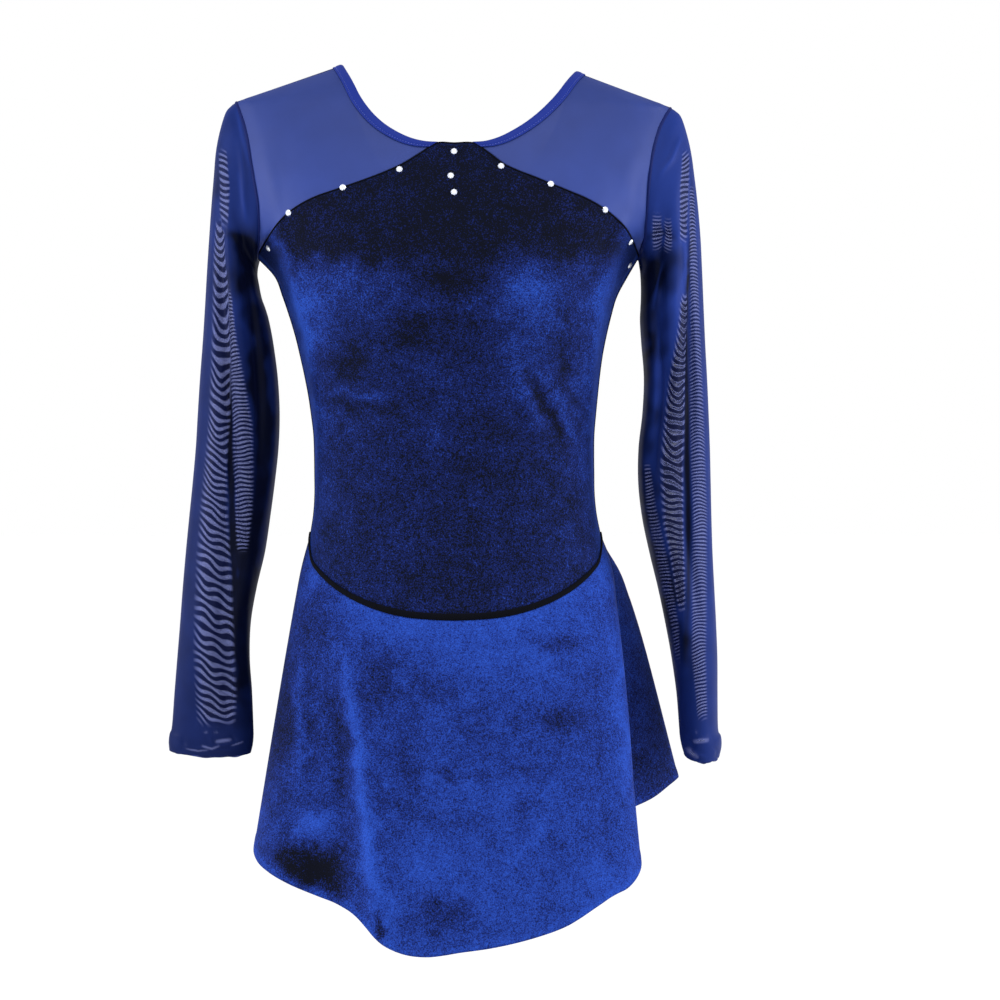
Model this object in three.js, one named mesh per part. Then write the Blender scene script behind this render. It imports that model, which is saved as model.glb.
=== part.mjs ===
// A long-sleeved figure skating dress, hollow and filled out as it is worn. Millimetres, +Z up, front towards -Y.
// "Left" and "right" are the wearer's, so left is +X. The origin is between the shoulders, at the height of the
// neck ends of the shoulder seams, where the wearer carries the dress.
//
// Stretch velvet makes the bodice and the flared skirt. One layer of power mesh makes the yokes and the sleeves.
// Every piece is a wall of its cloth's thickness over a surface that is worked out from the tables below.

import * as THREE from "three";

// ---------------------------------------------------------------------------------------------------------------
// Driving sizes

const VELVET = 1.6; // the velvet's backing and pile
const MESH = 1.0; // the power mesh
const SEAM = 0.5; // free gap between two pieces sewn edge to edge
const LAYER = 0.6; // free gap between a panel and what lies on it
const BINDING_WIDTH = 7.5; // neck binding, on each face of the yoke
const CUFF_HEM = 25; // depth of the turned hem at the wrist
const PIPING = { thick: 1.5, sideWidth: 2.5, middleWidth: 5, clear: 0.6 }; // the rolled seam round the hips
const ROUNDNESS = 2.4; // power of the torso's rounded cross-section, where 2 is an ellipse

// The torso at each height: half widths to the wearer's right and left, front and back depths from the side
// seam, and how far the underarm flares out at the side. Above the armholes the shoulder seams give the width.
const TORSO = [
  { z: 5, front: 10, back: 9, flare: 0 },
  { z: -1, front: 22, back: 20, flare: 0 },
  { z: -10, front: 36, back: 33, flare: 0 },
  { z: -20, front: 48, back: 45, flare: 0 },
  { z: -29, right: 191, front: 55, back: 52, flare: 0 },
  { z: -34, right: 194, left: 190, front: 59, back: 56, flare: 0 },
  { z: -55, right: 195, left: 192, front: 72, back: 68, flare: 0 },
  { z: -80, right: 193, left: 190, front: 84, back: 78, flare: 1 },
  { z: -105, right: 189, left: 185, front: 94, back: 84, flare: 3 },
  { z: -130, right: 181, left: 175, front: 103, back: 88, flare: 6 },
  { z: -150, right: 170, left: 163, front: 109, back: 90, flare: 10 },
  { z: -164, right: 161, left: 150, front: 113, back: 90, flare: 12 },
  { z: -173, right: 156.5, left: 150, front: 115, back: 90, flare: 7 },
  { z: -182, right: 154, left: 149, front: 116, back: 89, flare: 2.5 },
  { z: -200, right: 149.5, left: 142, front: 116, back: 87, flare: 0 },
  { z: -225, right: 141, left: 135, front: 111, back: 84, flare: 0 },
  { z: -255, right: 133.5, left: 129, front: 101, back: 79, flare: 0 },
  { z: -290, right: 126.5, left: 125, front: 91, back: 75, flare: 0 },
  { z: -330, right: 122, left: 122, front: 85, back: 72, flare: 0 },
  { z: -375, right: 121.5, left: 122.5, front: 84, back: 75, flare: 0 },
  { z: -410, right: 125.5, left: 128, front: 88, back: 84, flare: 0 },
  { z: -450, right: 134, left: 136, front: 94, back: 95, flare: 0 },
  { z: -490, right: 142, left: 143, front: 99, back: 105, flare: 0 },
];

// Seam lines seen from the front or back, as distances out from the middle for each side, with their heights.
// Each runs from at 0 to at 1.
const FRONT_NECK = [
  { at: 0, right: 99, rightZ: 2.8, left: 108, leftZ: -3.2 },
  { at: 0.14, right: 90.2, rightZ: -14, left: 100.2, leftZ: -13.5 },
  { at: 0.32, right: 81.1, rightZ: -32.5, left: 88.1, leftZ: -30.5 },
  { at: 0.5, right: 64.7, rightZ: -53, left: 67.7, leftZ: -51 },
  { at: 0.68, right: 45.2, rightZ: -66, left: 48.2, leftZ: -64 },
  { at: 0.85, right: 28.5, rightZ: -72, left: 30.5, leftZ: -71.7 },
  { at: 1, right: 15, rightZ: -73, left: 17, leftZ: -73 },
];
const BACK_NECK = [
  { at: 0, right: 99, rightZ: 2.8, left: 108, leftZ: -3.2 },
  { at: 0.14, right: 94, rightZ: -16, left: 102, leftZ: -19 },
  { at: 0.32, right: 86, rightZ: -41, left: 93, leftZ: -43 },
  { at: 0.5, right: 73, rightZ: -68, left: 78, leftZ: -69 },
  { at: 0.68, right: 55, rightZ: -92, left: 58, leftZ: -92 },
  { at: 0.85, right: 35, rightZ: -107, left: 36, leftZ: -107 },
  { at: 1, right: 16, rightZ: -112, left: 16, leftZ: -112 },
];
const ARMHOLE = [
  { at: 0, right: 191, rightZ: -29, left: 190, leftZ: -34 },
  { at: 0.1, right: 186.5, rightZ: -39.5, left: 184, leftZ: -43.5 },
  { at: 0.25, right: 180, rightZ: -60, left: 176, leftZ: -61 },
  { at: 0.45, right: 174.5, rightZ: -91, left: 169.5, leftZ: -92 },
  { at: 0.65, right: 169, rightZ: -126, left: 167, leftZ: -125 },
  { at: 0.82, right: 169.5, rightZ: -150, left: 166, leftZ: -147 },
  { at: 0.93, right: 172, rightZ: -161, left: 163.5, leftZ: -159.5 },
  { at: 1, right: 173, rightZ: -164, left: 162, leftZ: -164 },
];
const FRONT_YOKE_SEAM = [
  { at: 0, right: 15, rightZ: -73, left: 17, leftZ: -73 },
  { at: 0.09, right: 29, rightZ: -82, left: 29, leftZ: -81 },
  { at: 0.2, right: 47, rightZ: -93, left: 45, leftZ: -93 },
  { at: 0.36, right: 72, rightZ: -103.5, left: 68, leftZ: -102.5 },
  { at: 0.5, right: 95, rightZ: -111.5, left: 90, leftZ: -111.5 },
  { at: 0.66, right: 122, rightZ: -120.5, left: 116, leftZ: -122 },
  { at: 0.8, right: 141.5, rightZ: -131.5, left: 135, leftZ: -133.5 },
  { at: 0.91, right: 156, rightZ: -145.5, left: 150, leftZ: -147 },
  { at: 0.96, right: 162, rightZ: -155.5, left: 155, leftZ: -157 },
  { at: 1, right: 173, rightZ: -164, left: 162, leftZ: -164 },
];
const BACK_YOKE_SEAM = [
  { at: 0, right: 16, rightZ: -112, left: 16, leftZ: -112 },
  { at: 0.09, right: 30, rightZ: -119, left: 29, leftZ: -119 },
  { at: 0.25, right: 58, rightZ: -127, left: 55, leftZ: -127 },
  { at: 0.5, right: 98, rightZ: -136, left: 93, leftZ: -136 },
  { at: 0.72, right: 133, rightZ: -146, left: 126, leftZ: -146 },
  { at: 0.88, right: 156, rightZ: -155, left: 147, leftZ: -155 },
  { at: 1, right: 173, rightZ: -164, left: 162, leftZ: -164 },
];
// The seam between bodice and skirt dips to a U, front and back. The angle is counted from the side seam.
const HIP_SEAM = [
  { angle: 0, z: -408 },
  { angle: 10, z: -416 },
  { angle: 20, z: -430 },
  { angle: 34, z: -443 },
  { angle: 49, z: -457 },
  { angle: 61, z: -467 },
  { angle: 70, z: -473 },
  { angle: 80, z: -477.5 },
  { angle: 90, z: -479 },
];

// The hem of the skirt, all round from the wearer's left side seam over the front. Its folds are where it steps
// out and in, and they die away towards the hip seam.
const HEM = [
  { angle: 0, x: 150, y: 2, z: -652 },
  { angle: 10, x: 151, y: -32, z: -668 },
  { angle: 18, x: 157, y: -58, z: -680 },
  { angle: 24, x: 160, y: -76, z: -690 },
  { angle: 30, x: 156, y: -92, z: -700 },
  { angle: 36, x: 148, y: -104, z: -708.3 },
  { angle: 44, x: 134, y: -114, z: -714.8 },
  { angle: 52, x: 117, y: -123, z: -725.3 },
  { angle: 60, x: 96, y: -131, z: -737.7 },
  { angle: 70, x: 66, y: -137, z: -748 },
  { angle: 80, x: 34, y: -141, z: -755.2 },
  { angle: 90, x: 5, y: -143, z: -759.2 },
  { angle: 98, x: -20, y: -143, z: -762.8 },
  { angle: 106, x: -42, y: -146, z: -760.3 },
  { angle: 112, x: -58, y: -147, z: -753.5 },
  { angle: 117, x: -68, y: -143, z: -745.2 },
  { angle: 121, x: -76, y: -135, z: -735.8 },
  { angle: 126, x: -86, y: -127, z: -727.4 },
  { angle: 133, x: -101, y: -118, z: -720 },
  { angle: 141, x: -119, y: -111, z: -713.7 },
  { angle: 150, x: -139, y: -103, z: -706.3 },
  { angle: 160, x: -158, y: -88, z: -697 },
  { angle: 168, x: -169, y: -66, z: -689 },
  { angle: 174, x: -173, y: -42, z: -681 },
  { angle: 180, x: -172, y: -10, z: -672 },
  { angle: 188, x: -171, y: 22, z: -662 },
  { angle: 197, x: -166, y: 55, z: -653 },
  { angle: 206, x: -150, y: 84, z: -648 },
  { angle: 215, x: -130, y: 103, z: -648 },
  { angle: 222, x: -116, y: 121, z: -650 },
  { angle: 229, x: -100, y: 144, z: -654 },
  { angle: 236, x: -80, y: 157, z: -657 },
  { angle: 246, x: -53, y: 150, z: -660 },
  { angle: 256, x: -28, y: 136, z: -663 },
  { angle: 265, x: -8, y: 132, z: -665 },
  { angle: 274, x: 14, y: 142, z: -667 },
  { angle: 283, x: 38, y: 160, z: -668 },
  { angle: 291, x: 62, y: 166, z: -665 },
  { angle: 299, x: 84, y: 152, z: -660 },
  { angle: 307, x: 103, y: 132, z: -654 },
  { angle: 316, x: 124, y: 118, z: -647 },
  { angle: 326, x: 150, y: 108, z: -638 },
  { angle: 336, x: 178, y: 96, z: -628 },
  { angle: 343, x: 194, y: 80, z: -626 },
  { angle: 349, x: 200, y: 58, z: -627 },
  { angle: 353.5, x: 187, y: 36, z: -635 },
  { angle: 357, x: 170, y: 17, z: -645 },
];
// How far the skirt rounds out over the hips, at a quarter of the way from its seam to its hem.
const SWELL = [
  { angle: 0, out: 9 },
  { angle: 90, out: 7 },
  { angle: 180, out: 3 },
  { angle: 270, out: 6 },
  { angle: 345, out: 12 },
  { angle: 360, out: 9 },
];

// The sleeves hang empty. Each row is a ring round the sleeve: how far out and how high its outer and its inner
// edge are, and its half depth from front to back. The first ring lies on the armhole. From the seventh row down
// a ring is level. lean lowers its front edge.
const SLEEVE_RIGHT = [
  { at: 0, out: 191, outZ: -29, in: 173, inZ: -164, deep: 46, lean: 0 },
  { at: 12, out: 199, outZ: -36, in: 173.5, inZ: -173, deep: 47, lean: 0 },
  { at: 30, out: 207, outZ: -62, in: 173.5, inZ: -181, deep: 48, lean: 0 },
  { at: 55, out: 211, outZ: -98, in: 172, inZ: -190, deep: 49, lean: 0 },
  { at: 85, out: 214, outZ: -138, in: 170, inZ: -200, deep: 50, lean: 0 },
  { at: 125, out: 217, outZ: -185, in: 165.5, inZ: -213, deep: 51, lean: 0 },
  { at: 166, out: 219.5, outZ: -230, in: 161, inZ: -232, deep: 51, lean: 0 },
  { at: 198, out: 222, outZ: -262, in: 156.5, inZ: -262, deep: 50, lean: 0 },
  { at: 236, out: 224.5, outZ: -300, in: 154, inZ: -300, deep: 48, lean: 0 },
  { at: 276, out: 227, outZ: -340, in: 155.5, inZ: -340, deep: 45, lean: 0 },
  { at: 316, out: 231, outZ: -380, in: 160.5, inZ: -380, deep: 42, lean: 0 },
  { at: 356, out: 235, outZ: -420, in: 166, inZ: -420, deep: 38, lean: 0 },
  { at: 396, out: 238.5, outZ: -460, in: 175, inZ: -460, deep: 35, lean: 0 },
  { at: 436, out: 241.5, outZ: -500, in: 180.5, inZ: -500, deep: 32, lean: 1 },
  { at: 476, out: 245, outZ: -540, in: 178.5, inZ: -540, deep: 26, lean: 2 },
  { at: 512, out: 247.5, outZ: -576, in: 177, inZ: -576, deep: 20, lean: 3 },
  { at: 526, out: 250.5, outZ: -588, in: 177, inZ: -590, deep: 18, lean: 4 },
  { at: 538, out: 250, outZ: -598, in: 179, inZ: -600, deep: 17, lean: 4 },
];
const SLEEVE_LEFT = [
  { at: 0, out: 190, outZ: -34, in: 162, inZ: -164, deep: 46, lean: 0 },
  { at: 12, out: 198, outZ: -40, in: 163.5, inZ: -173, deep: 47, lean: 0 },
  { at: 30, out: 206, outZ: -64, in: 164.5, inZ: -181, deep: 48, lean: 0 },
  { at: 55, out: 211.5, outZ: -99, in: 165, inZ: -190, deep: 49, lean: 0 },
  { at: 85, out: 215.5, outZ: -138, in: 165, inZ: -200, deep: 50, lean: 0 },
  { at: 125, out: 218, outZ: -185, in: 164.5, inZ: -213, deep: 51, lean: 0 },
  { at: 166, out: 219.8, outZ: -230, in: 164.5, inZ: -232, deep: 51, lean: 0 },
  { at: 198, out: 221.5, outZ: -262, in: 167.5, inZ: -262, deep: 51, lean: 0 },
  { at: 236, out: 223.2, outZ: -300, in: 166.5, inZ: -300, deep: 50, lean: 0 },
  { at: 276, out: 224.6, outZ: -340, in: 162.5, inZ: -340, deep: 47, lean: 0 },
  { at: 316, out: 225.4, outZ: -380, in: 164, inZ: -380, deep: 45, lean: 0 },
  { at: 356, out: 226.5, outZ: -420, in: 171.5, inZ: -420, deep: 43, lean: 0 },
  { at: 396, out: 228.5, outZ: -460, in: 181, inZ: -460, deep: 42.5, lean: 0 },
  { at: 436, out: 230.5, outZ: -500, in: 189, inZ: -500, deep: 42, lean: 1 },
  { at: 476, out: 231.5, outZ: -540, in: 195.5, inZ: -540, deep: 41.5, lean: 2 },
  { at: 512, out: 231, outZ: -576, in: 198.5, inZ: -576, deep: 41, lean: 3 },
  { at: 528, out: 235, outZ: -590, in: 200, inZ: -591, deep: 40.5, lean: 4 },
  { at: 540, out: 233, outZ: -601, in: 203, inZ: -602, deep: 40, lean: 5 },
];
// Long creases down a sleeve, from one distance down it to another. turn is the angle round the sleeve, 0 at its
// outer edge and 90 at the front, at the crease's two ends. deep is inwards, and spread is its half width in degrees.
const CREASES_RIGHT = [
  { from: 40, to: 500, turnFrom: 52, turnTo: 118, deep: 9, spread: 13 },
  { from: 20, to: 330, turnFrom: 118, turnTo: 136, deep: 8, spread: 12 },
  { from: 60, to: 480, turnFrom: 285, turnTo: 255, deep: 9, spread: 14 },
  { from: 10, to: 300, turnFrom: 232, turnTo: 215, deep: 7, spread: 12 },
];
const CREASES_LEFT = [
  { from: 40, to: 430, turnFrom: 62, turnTo: 82, deep: 9, spread: 12 },
  { from: 20, to: 340, turnFrom: 112, turnTo: 138, deep: 8, spread: 12 },
  { from: 50, to: 430, turnFrom: 292, turnTo: 266, deep: 9, spread: 14 },
  { from: 10, to: 320, turnFrom: 236, turnTo: 218, deep: 7, spread: 12 },
];

// ---------------------------------------------------------------------------------------------------------------
// Curves through a table

// A smooth curve through one column of a table. A rounded curve runs on through its high and low rows; otherwise
// it never passes outside the values of the two rows that it lies between.
function curve(table, key, column, rounded = false) {
  const rows = table.filter((row) => column in row);
  const x = rows.map((row) => row[key]);
  const y = rows.map((row) => row[column]);
  const order = x[0] < x[x.length - 1] ? 1 : -1;
  const step = (i) => (y[i + 1] - y[i]) / (x[i + 1] - x[i]);
  const last = x.length - 1;
  const slope = x.map((_, i) => {
    if (i === 0) return step(0);
    if (i === last) return step(last - 1);
    const [before, after] = [step(i - 1), step(i)];
    if (rounded) {
      const [a, b] = [Math.abs(x[i] - x[i - 1]), Math.abs(x[i + 1] - x[i])];
      return (before * b + after * a) / (a + b);
    }
    return before * after <= 0 ? 0 : (2 * before * after) / (before + after);
  });
  return (at) => {
    let i = 0;
    while (i < last - 1 && order * at > order * x[i + 1]) i += 1;
    const width = x[i + 1] - x[i];
    const t = THREE.MathUtils.clamp((at - x[i]) / width, 0, 1);
    const [t2, t3] = [t * t, t * t * t];
    return (
      y[i] * (2 * t3 - 3 * t2 + 1) +
      y[i + 1] * (3 * t2 - 2 * t3) +
      width * (slope[i] * (t3 - 2 * t2 + t) + slope[i + 1] * (t3 - t2))
    );
  };
}

const curves = (table, key, columns, rounded) =>
  Object.fromEntries(columns.map((name) => [name, curve(table, key, name, rounded)]));

const spread = (from, to, steps) =>
  Array.from({ length: steps + 1 }, (_, i) => from + ((to - from) * i) / steps);

const radians = THREE.MathUtils.degToRad;
const mix = THREE.MathUtils.lerp;

// ---------------------------------------------------------------------------------------------------------------
// The torso's surface

const torso = curves(TORSO, "z", ["right", "left", "front", "back", "flare"]);
const FLARE_POWER = 8; // the flare is at the side alone

function halfWidth(side, z) {
  const [neck, tip] = [FRONT_NECK[0], ARMHOLE[0]];
  const [neckZ, tipZ] = [neck[`${side}Z`], tip[`${side}Z`]];
  return z > tipZ ? THREE.MathUtils.mapLinear(z, neckZ, tipZ, neck[side], tip[side]) : torso[side](z);
}

// How far out the surface is, at an angle from the side seam.
function outAt(side, angle, z) {
  const c = Math.abs(Math.cos(radians(angle)));
  return halfWidth(side, z) * c ** (2 / ROUNDNESS) + torso.flare(z) * c ** FLARE_POWER;
}

// A point of the torso. The angle runs from 0 at the left side seam over the front, 90, to 180 at the right.
function torsoPoint(angle, z) {
  const side = Math.cos(radians(angle)) >= 0 ? "left" : "right";
  const sine = Math.sin(radians(angle));
  const depth = Math.abs(sine) ** (2 / ROUNDNESS);
  return new THREE.Vector3(
    (side === "left" ? 1 : -1) * outAt(side, angle, z),
    sine >= 0 ? -torso.front(z) * depth : torso.back(z) * depth,
    z,
  );
}

// The direction out of a surface, from the points beside a place on it.
function outward(point, a, b, stepA, stepB, centre) {
  const alongA = point(a + stepA, b).sub(point(a - stepA, b));
  const alongB = point(a, b + stepB).sub(point(a, b - stepB));
  const normal = alongA.cross(alongB).normalize();
  return normal.dot(point(a, b).sub(centre)) < 0 ? normal.negate() : normal;
}

const TOP = TORSO[0].z;
function torsoPlace(angle, z) {
  const height = Math.min(z, TOP - 1.1);
  const normal = outward(torsoPoint, angle, height, 1, 1, new THREE.Vector3(0, 0, Math.min(z, -60)));
  return { p: torsoPoint(angle, z), n: normal };
}

// The angle from the side seam at which the surface is a given distance out, found by halving.
function angleAt(side, out, z) {
  let [low, high] = [0, 90];
  for (let i = 0; i < 40; i += 1) {
    const middle = (low + high) / 2;
    if (outAt(side, middle, z) > out) low = middle;
    else high = middle;
  }
  return (low + high) / 2;
}

// A panel stops short of the side seam at y = 0, in front of it or behind it.
function clearOfSide(place, face) {
  const gap = SEAM / 2;
  place.p.y = face === "front" ? Math.min(place.p.y, -gap) : Math.max(place.p.y, gap);
  return place;
}

// A place on the torso from its distance out and its height, on the front or the back of one side.
function sidePlace(side, face, out, z) {
  const turn = angleAt(side, out, z);
  const angle = side === "left" ? turn : 180 - turn;
  return { ...clearOfSide(torsoPlace(face === "front" ? angle : 360 - angle, z), face), angle };
}

// ---------------------------------------------------------------------------------------------------------------
// Walls of cloth

function solid(position, index) {
  const geometry = new THREE.BufferGeometry();
  geometry.setAttribute("position", new THREE.Float32BufferAttribute(position, 3));
  let volume = 0;
  const at = (i) => new THREE.Vector3().fromArray(position, 3 * i);
  for (let i = 0; i < index.length; i += 3)
    volume += at(index[i]).dot(at(index[i + 1]).cross(at(index[i + 2])));
  geometry.setIndex(volume < 0 ? index.reverse() : index);
  geometry.computeVertexNormals();
  return geometry;
}

// Two faces, half the thickness either side of the rows of places, joined round their edges. A closed wall joins
// the end of each row to its start.
function wall(rows, thick, closed = false) {
  const [count, across] = [rows.length, rows[0].length];
  const position = [0.5, -0.5].flatMap((half) =>
    rows.flatMap((row) => row.flatMap(({ p, n }) => p.clone().addScaledVector(n, thick * half).toArray())),
  );
  const at = (face, i, j) => (face * count + i) * across + (j % across);
  const index = [];
  const quad = (a, b, c, d) => index.push(a, b, c, a, c, d);
  const cells = closed ? across : across - 1;
  for (let j = 0; j < cells; j += 1) {
    for (let i = 0; i < count - 1; i += 1) {
      quad(at(0, i, j), at(0, i + 1, j), at(0, i + 1, j + 1), at(0, i, j + 1));
      quad(at(1, i, j), at(1, i, j + 1), at(1, i + 1, j + 1), at(1, i + 1, j));
    }
    const end = count - 1;
    quad(at(0, 0, j), at(0, 0, j + 1), at(1, 0, j + 1), at(1, 0, j));
    quad(at(0, end, j), at(1, end, j), at(1, end, j + 1), at(0, end, j + 1));
  }
  for (let i = 0; !closed && i < count - 1; i += 1) {
    const end = across - 1;
    quad(at(0, i, 0), at(1, i, 0), at(1, i + 1, 0), at(0, i + 1, 0));
    quad(at(0, i, end), at(0, i + 1, end), at(1, i + 1, end), at(1, i, end));
  }
  return solid(position, index);
}

// A section carried along a path: each ring is the section's points in space. An open path gets flat ends, cut
// into triangles as the section's outline says.
function sweep(rings, outline, closed) {
  const [count, across] = [rings.length, rings[0].length];
  const at = (i, j) => (i % count) * across + (j % across);
  const index = [];
  for (let i = 0; i < (closed ? count : count - 1); i += 1)
    for (let j = 0; j < across; j += 1) {
      index.push(at(i, j), at(i + 1, j), at(i + 1, j + 1));
      index.push(at(i, j), at(i + 1, j + 1), at(i, j + 1));
    }
  if (!closed)
    for (const [a, b, c] of THREE.ShapeUtils.triangulateShape(outline, [])) {
      index.push(at(0, a), at(0, b), at(0, c));
      index.push(at(count - 1, c), at(count - 1, b), at(count - 1, a));
    }
  return solid(rings.flat().flatMap((p) => p.toArray()), index);
}

// ---------------------------------------------------------------------------------------------------------------
// Yokes: one quarter each, between the neck edge, the shoulder seam, the armhole and the velvet

// A seam line of one side as a function of at, giving the distance out and the height.
function seamLine(table, side) {
  const out = curve(table, "at", side);
  const height = curve(table, "at", `${side}Z`);
  return (at) => new THREE.Vector2(out(at), height(at));
}

// The direction across a seam line, upwards from the velvet to the mesh.
function acrossSeam(line, at) {
  const small = 0.01;
  const along = line(Math.min(at + small, 1)).sub(line(Math.max(at - small, 0))).normalize();
  return new THREE.Vector2(-along.y, along.x);
}

const LINES = {};
for (const side of ["left", "right"])
  for (const [face, neck, seam] of [
    ["front", FRONT_NECK, FRONT_YOKE_SEAM],
    ["back", BACK_NECK, BACK_YOKE_SEAM],
  ])
    LINES[side + face] = {
      neck: seamLine(neck, side),
      armhole: seamLine(ARMHOLE, side),
      velvet: seamLine(seam, side),
    };

// A place on a yoke: across from 0 at the neck to 1 at the armhole, down from 0 at the shoulder to 1 at the
// velvet. It is the patch that the four edges span.
function yokePlace(side, face, across, down) {
  const { neck, armhole, velvet } = LINES[side + face];
  const shoulder = neck(0).lerp(armhole(0), across);
  const place = shoulder
    .multiplyScalar(1 - down)
    .addScaledVector(velvet(across), down)
    .addScaledVector(neck(down), 1 - across)
    .addScaledVector(armhole(down), across)
    .addScaledVector(neck(0), -(1 - across) * (1 - down))
    .addScaledVector(armhole(0), -across * (1 - down))
    .addScaledVector(neck(1), -(1 - across) * down)
    .addScaledVector(armhole(1), -across * down)
    .addScaledVector(acrossSeam(velvet, across), (SEAM / 2) * down);
  return sidePlace(side, face, place.x, place.y);
}

// The rows are closer together near the shoulder, where the cloth turns over it.
const shoulderSpread = (steps) => spread(0, 1, steps).map((t) => t ** 1.7);

// The bodice has as many columns on its seam as a yoke, and the binding as many rows on the neck edge, so that
// the pieces meet all along.
const YOKE_COLUMNS = 11;
const YOKE_ROWS = 13;

function yoke(side, face) {
  return wall(
    shoulderSpread(YOKE_ROWS).map((down) =>
      spread(0, 1, YOKE_COLUMNS).map((across) => yokePlace(side, face, across, down)),
    ),
    MESH,
  );
}

// The neck binding is a strip folded over the raw edge of a front and a back yoke, from one velvet tab to the other.
function neckBinding(side) {
  const inside = MESH / 2 + LAYER; // from the middle of the yoke to the binding
  const outside = inside + MESH;
  const fold = -LAYER; // the inside of the fold, past the yoke's raw edge
  const outline = [
    [BINDING_WIDTH, outside],
    [fold - MESH, outside],
    [fold - MESH, -outside],
    [BINDING_WIDTH, -outside],
    [BINDING_WIDTH, -inside],
    [fold, -inside],
    [fold, inside],
    [BINDING_WIDTH, inside],
  ].map(([x, y]) => new THREE.Vector2(x, y));
  const ring = (face, down) => {
    const edge = yokePlace(side, face, 0, down);
    const width = yokePlace(side, face, 0.1, down).p.distanceTo(edge.p) / 0.1;
    return outline.map(({ x, y }) => {
      const { p, n } = x > 0 ? yokePlace(side, face, x / width, down) : edge;
      const onEdge = yokePlace(side, face, 0.05, down).p.sub(edge.p).normalize();
      return p.clone().addScaledVector(n, y).addScaledVector(onEdge, Math.min(x, 0));
    });
  };
  const downs = shoulderSpread(YOKE_ROWS);
  const front = downs.toReversed().map((down) => ring("front", down));
  const back = downs.slice(1).map((down) => ring("back", down));
  return sweep([...front, ...back], outline, false);
}

// ---------------------------------------------------------------------------------------------------------------
// Bodice

const hipSeam = curve(HIP_SEAM, "angle", "z");
const fromSide = (angle) => Math.min(Math.abs(angle % 180), 180 - Math.abs(angle % 180));
const hipSeamAt = (angle) => hipSeam(fromSide(angle));

// The columns of a bodice panel, from one side seam to the other: one on each side of the middle one for each
// column of a yoke. At the hip seam they are evenly spread.
const PANEL_COLUMNS = 2 * (YOKE_COLUMNS + 1);
const hipAngle = (column) => (180 * column) / PANEL_COLUMNS;

// A velvet panel hangs from the yoke seam, in columns that run down the torso to the hip seam. Its end columns lie
// on the side seams.
function bodice(face) {
  const ROWS = 14;
  const top = (side, at) => {
    const line = LINES[side + face].velvet;
    const edge = line(at).addScaledVector(acrossSeam(line, at), -SEAM / 2);
    return { angle: sidePlace(side, face, edge.x, edge.y).angle, z: edge.y };
  };
  const ats = spread(0, 1, YOKE_COLUMNS);
  const tops = [
    ...ats.map((at) => top("left", at)).reverse(),
    { angle: 90, z: top("left", 0).z },
    ...ats.map((at) => top("right", at)),
  ];
  tops[0].angle = 0;
  tops[PANEL_COLUMNS].angle = 180;
  const rows = spread(0, 1, ROWS).map((down) =>
    tops.map((from, column) => {
      const z = mix(from.z, hipSeamAt(hipAngle(column)) + SEAM / 2, down);
      const angle = mix(from.angle, hipAngle(column), down);
      return clearOfSide(torsoPlace(face === "front" ? angle : 360 - angle, z), face);
    }),
  );
  return wall(rows, VELVET);
}

// ---------------------------------------------------------------------------------------------------------------
// Skirt

const hem = curves([...HEM, { ...HEM[0], angle: 360 }], "angle", ["x", "y", "z"], true);
const swell = curve(SWELL, "angle", "out");

function skirtPoint(angle, down) {
  const top = torsoPoint(angle, hipSeamAt(angle) - SEAM / 2);
  const bottom = new THREE.Vector3(hem.x(angle), hem.y(angle), hem.z(angle));
  const out = new THREE.Vector3(Math.cos(radians(angle)), -Math.sin(radians(angle)), 0);
  return top.lerp(bottom, down).addScaledVector(out, swell((angle + 360) % 360) * Math.sin(Math.PI * Math.sqrt(down)));
}

function skirtPlace(angle, down) {
  const middle = new THREE.Vector3(0, 0, mix(-440, -690, down));
  return { p: skirtPoint(angle, down), n: outward(skirtPoint, angle, down, 0.5, 0.004, middle) };
}

const SKIRT_SEAM = 0.07; // degrees from a panel's edge to the side seam

// The top edge of the skirt has a column on each of the bodice's, and one on the straight line between.
function skirt(face) {
  const ROWS = 9;
  const columns = spread(0, PANEL_COLUMNS, 2 * PANEL_COLUMNS);
  const turned = face === "front" ? 0 : 180;
  const top = columns.map((column) => {
    const [a, b] = [Math.floor(column), Math.ceil(column)].map((whole) => {
      const angle = hipAngle(whole) + turned;
      return clearOfSide(torsoPlace(angle, hipSeamAt(angle) - SEAM / 2), face);
    });
    return { p: a.p.lerp(b.p, 0.5), n: a.n.add(b.n).normalize() };
  });
  const rest = spread(0, 1, ROWS)
    .slice(1)
    .map((down) =>
      columns.map((column) => {
        const inside = THREE.MathUtils.clamp(hipAngle(column), SKIRT_SEAM, 180 - SKIRT_SEAM);
        return skirtPlace(inside + turned, down);
      }),
    );
  return wall([top, ...rest], VELVET);
}

// The rolled seam lies over the joint of bodice and skirt, all round, and is widest in the middle.
function hipPiping() {
  const STEPS = 3 * PANEL_COLUMNS;
  const SIDES = 6;
  const around = (from, steps) => spread(from, from + 360, steps).slice(0, steps);
  const rings = around(0, STEPS).map((angle) => {
    const { p, n } = torsoPlace(angle, hipSeamAt(angle));
    const centre = p.addScaledVector(n, VELVET / 2 + PIPING.clear + PIPING.thick / 2);
    const upwards = new THREE.Vector3(0, 0, 1).addScaledVector(n, -n.z).normalize();
    const width = mix(PIPING.sideWidth, PIPING.middleWidth, fromSide(angle) / 90);
    return around(0, SIDES).map((turn) =>
      centre
        .clone()
        .addScaledVector(n, (PIPING.thick / 2) * Math.sin(radians(turn)))
        .addScaledVector(upwards, (width / 2) * Math.cos(radians(turn))),
    );
  });
  return sweep(rings, [], true);
}

// ---------------------------------------------------------------------------------------------------------------
// Sleeves

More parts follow.
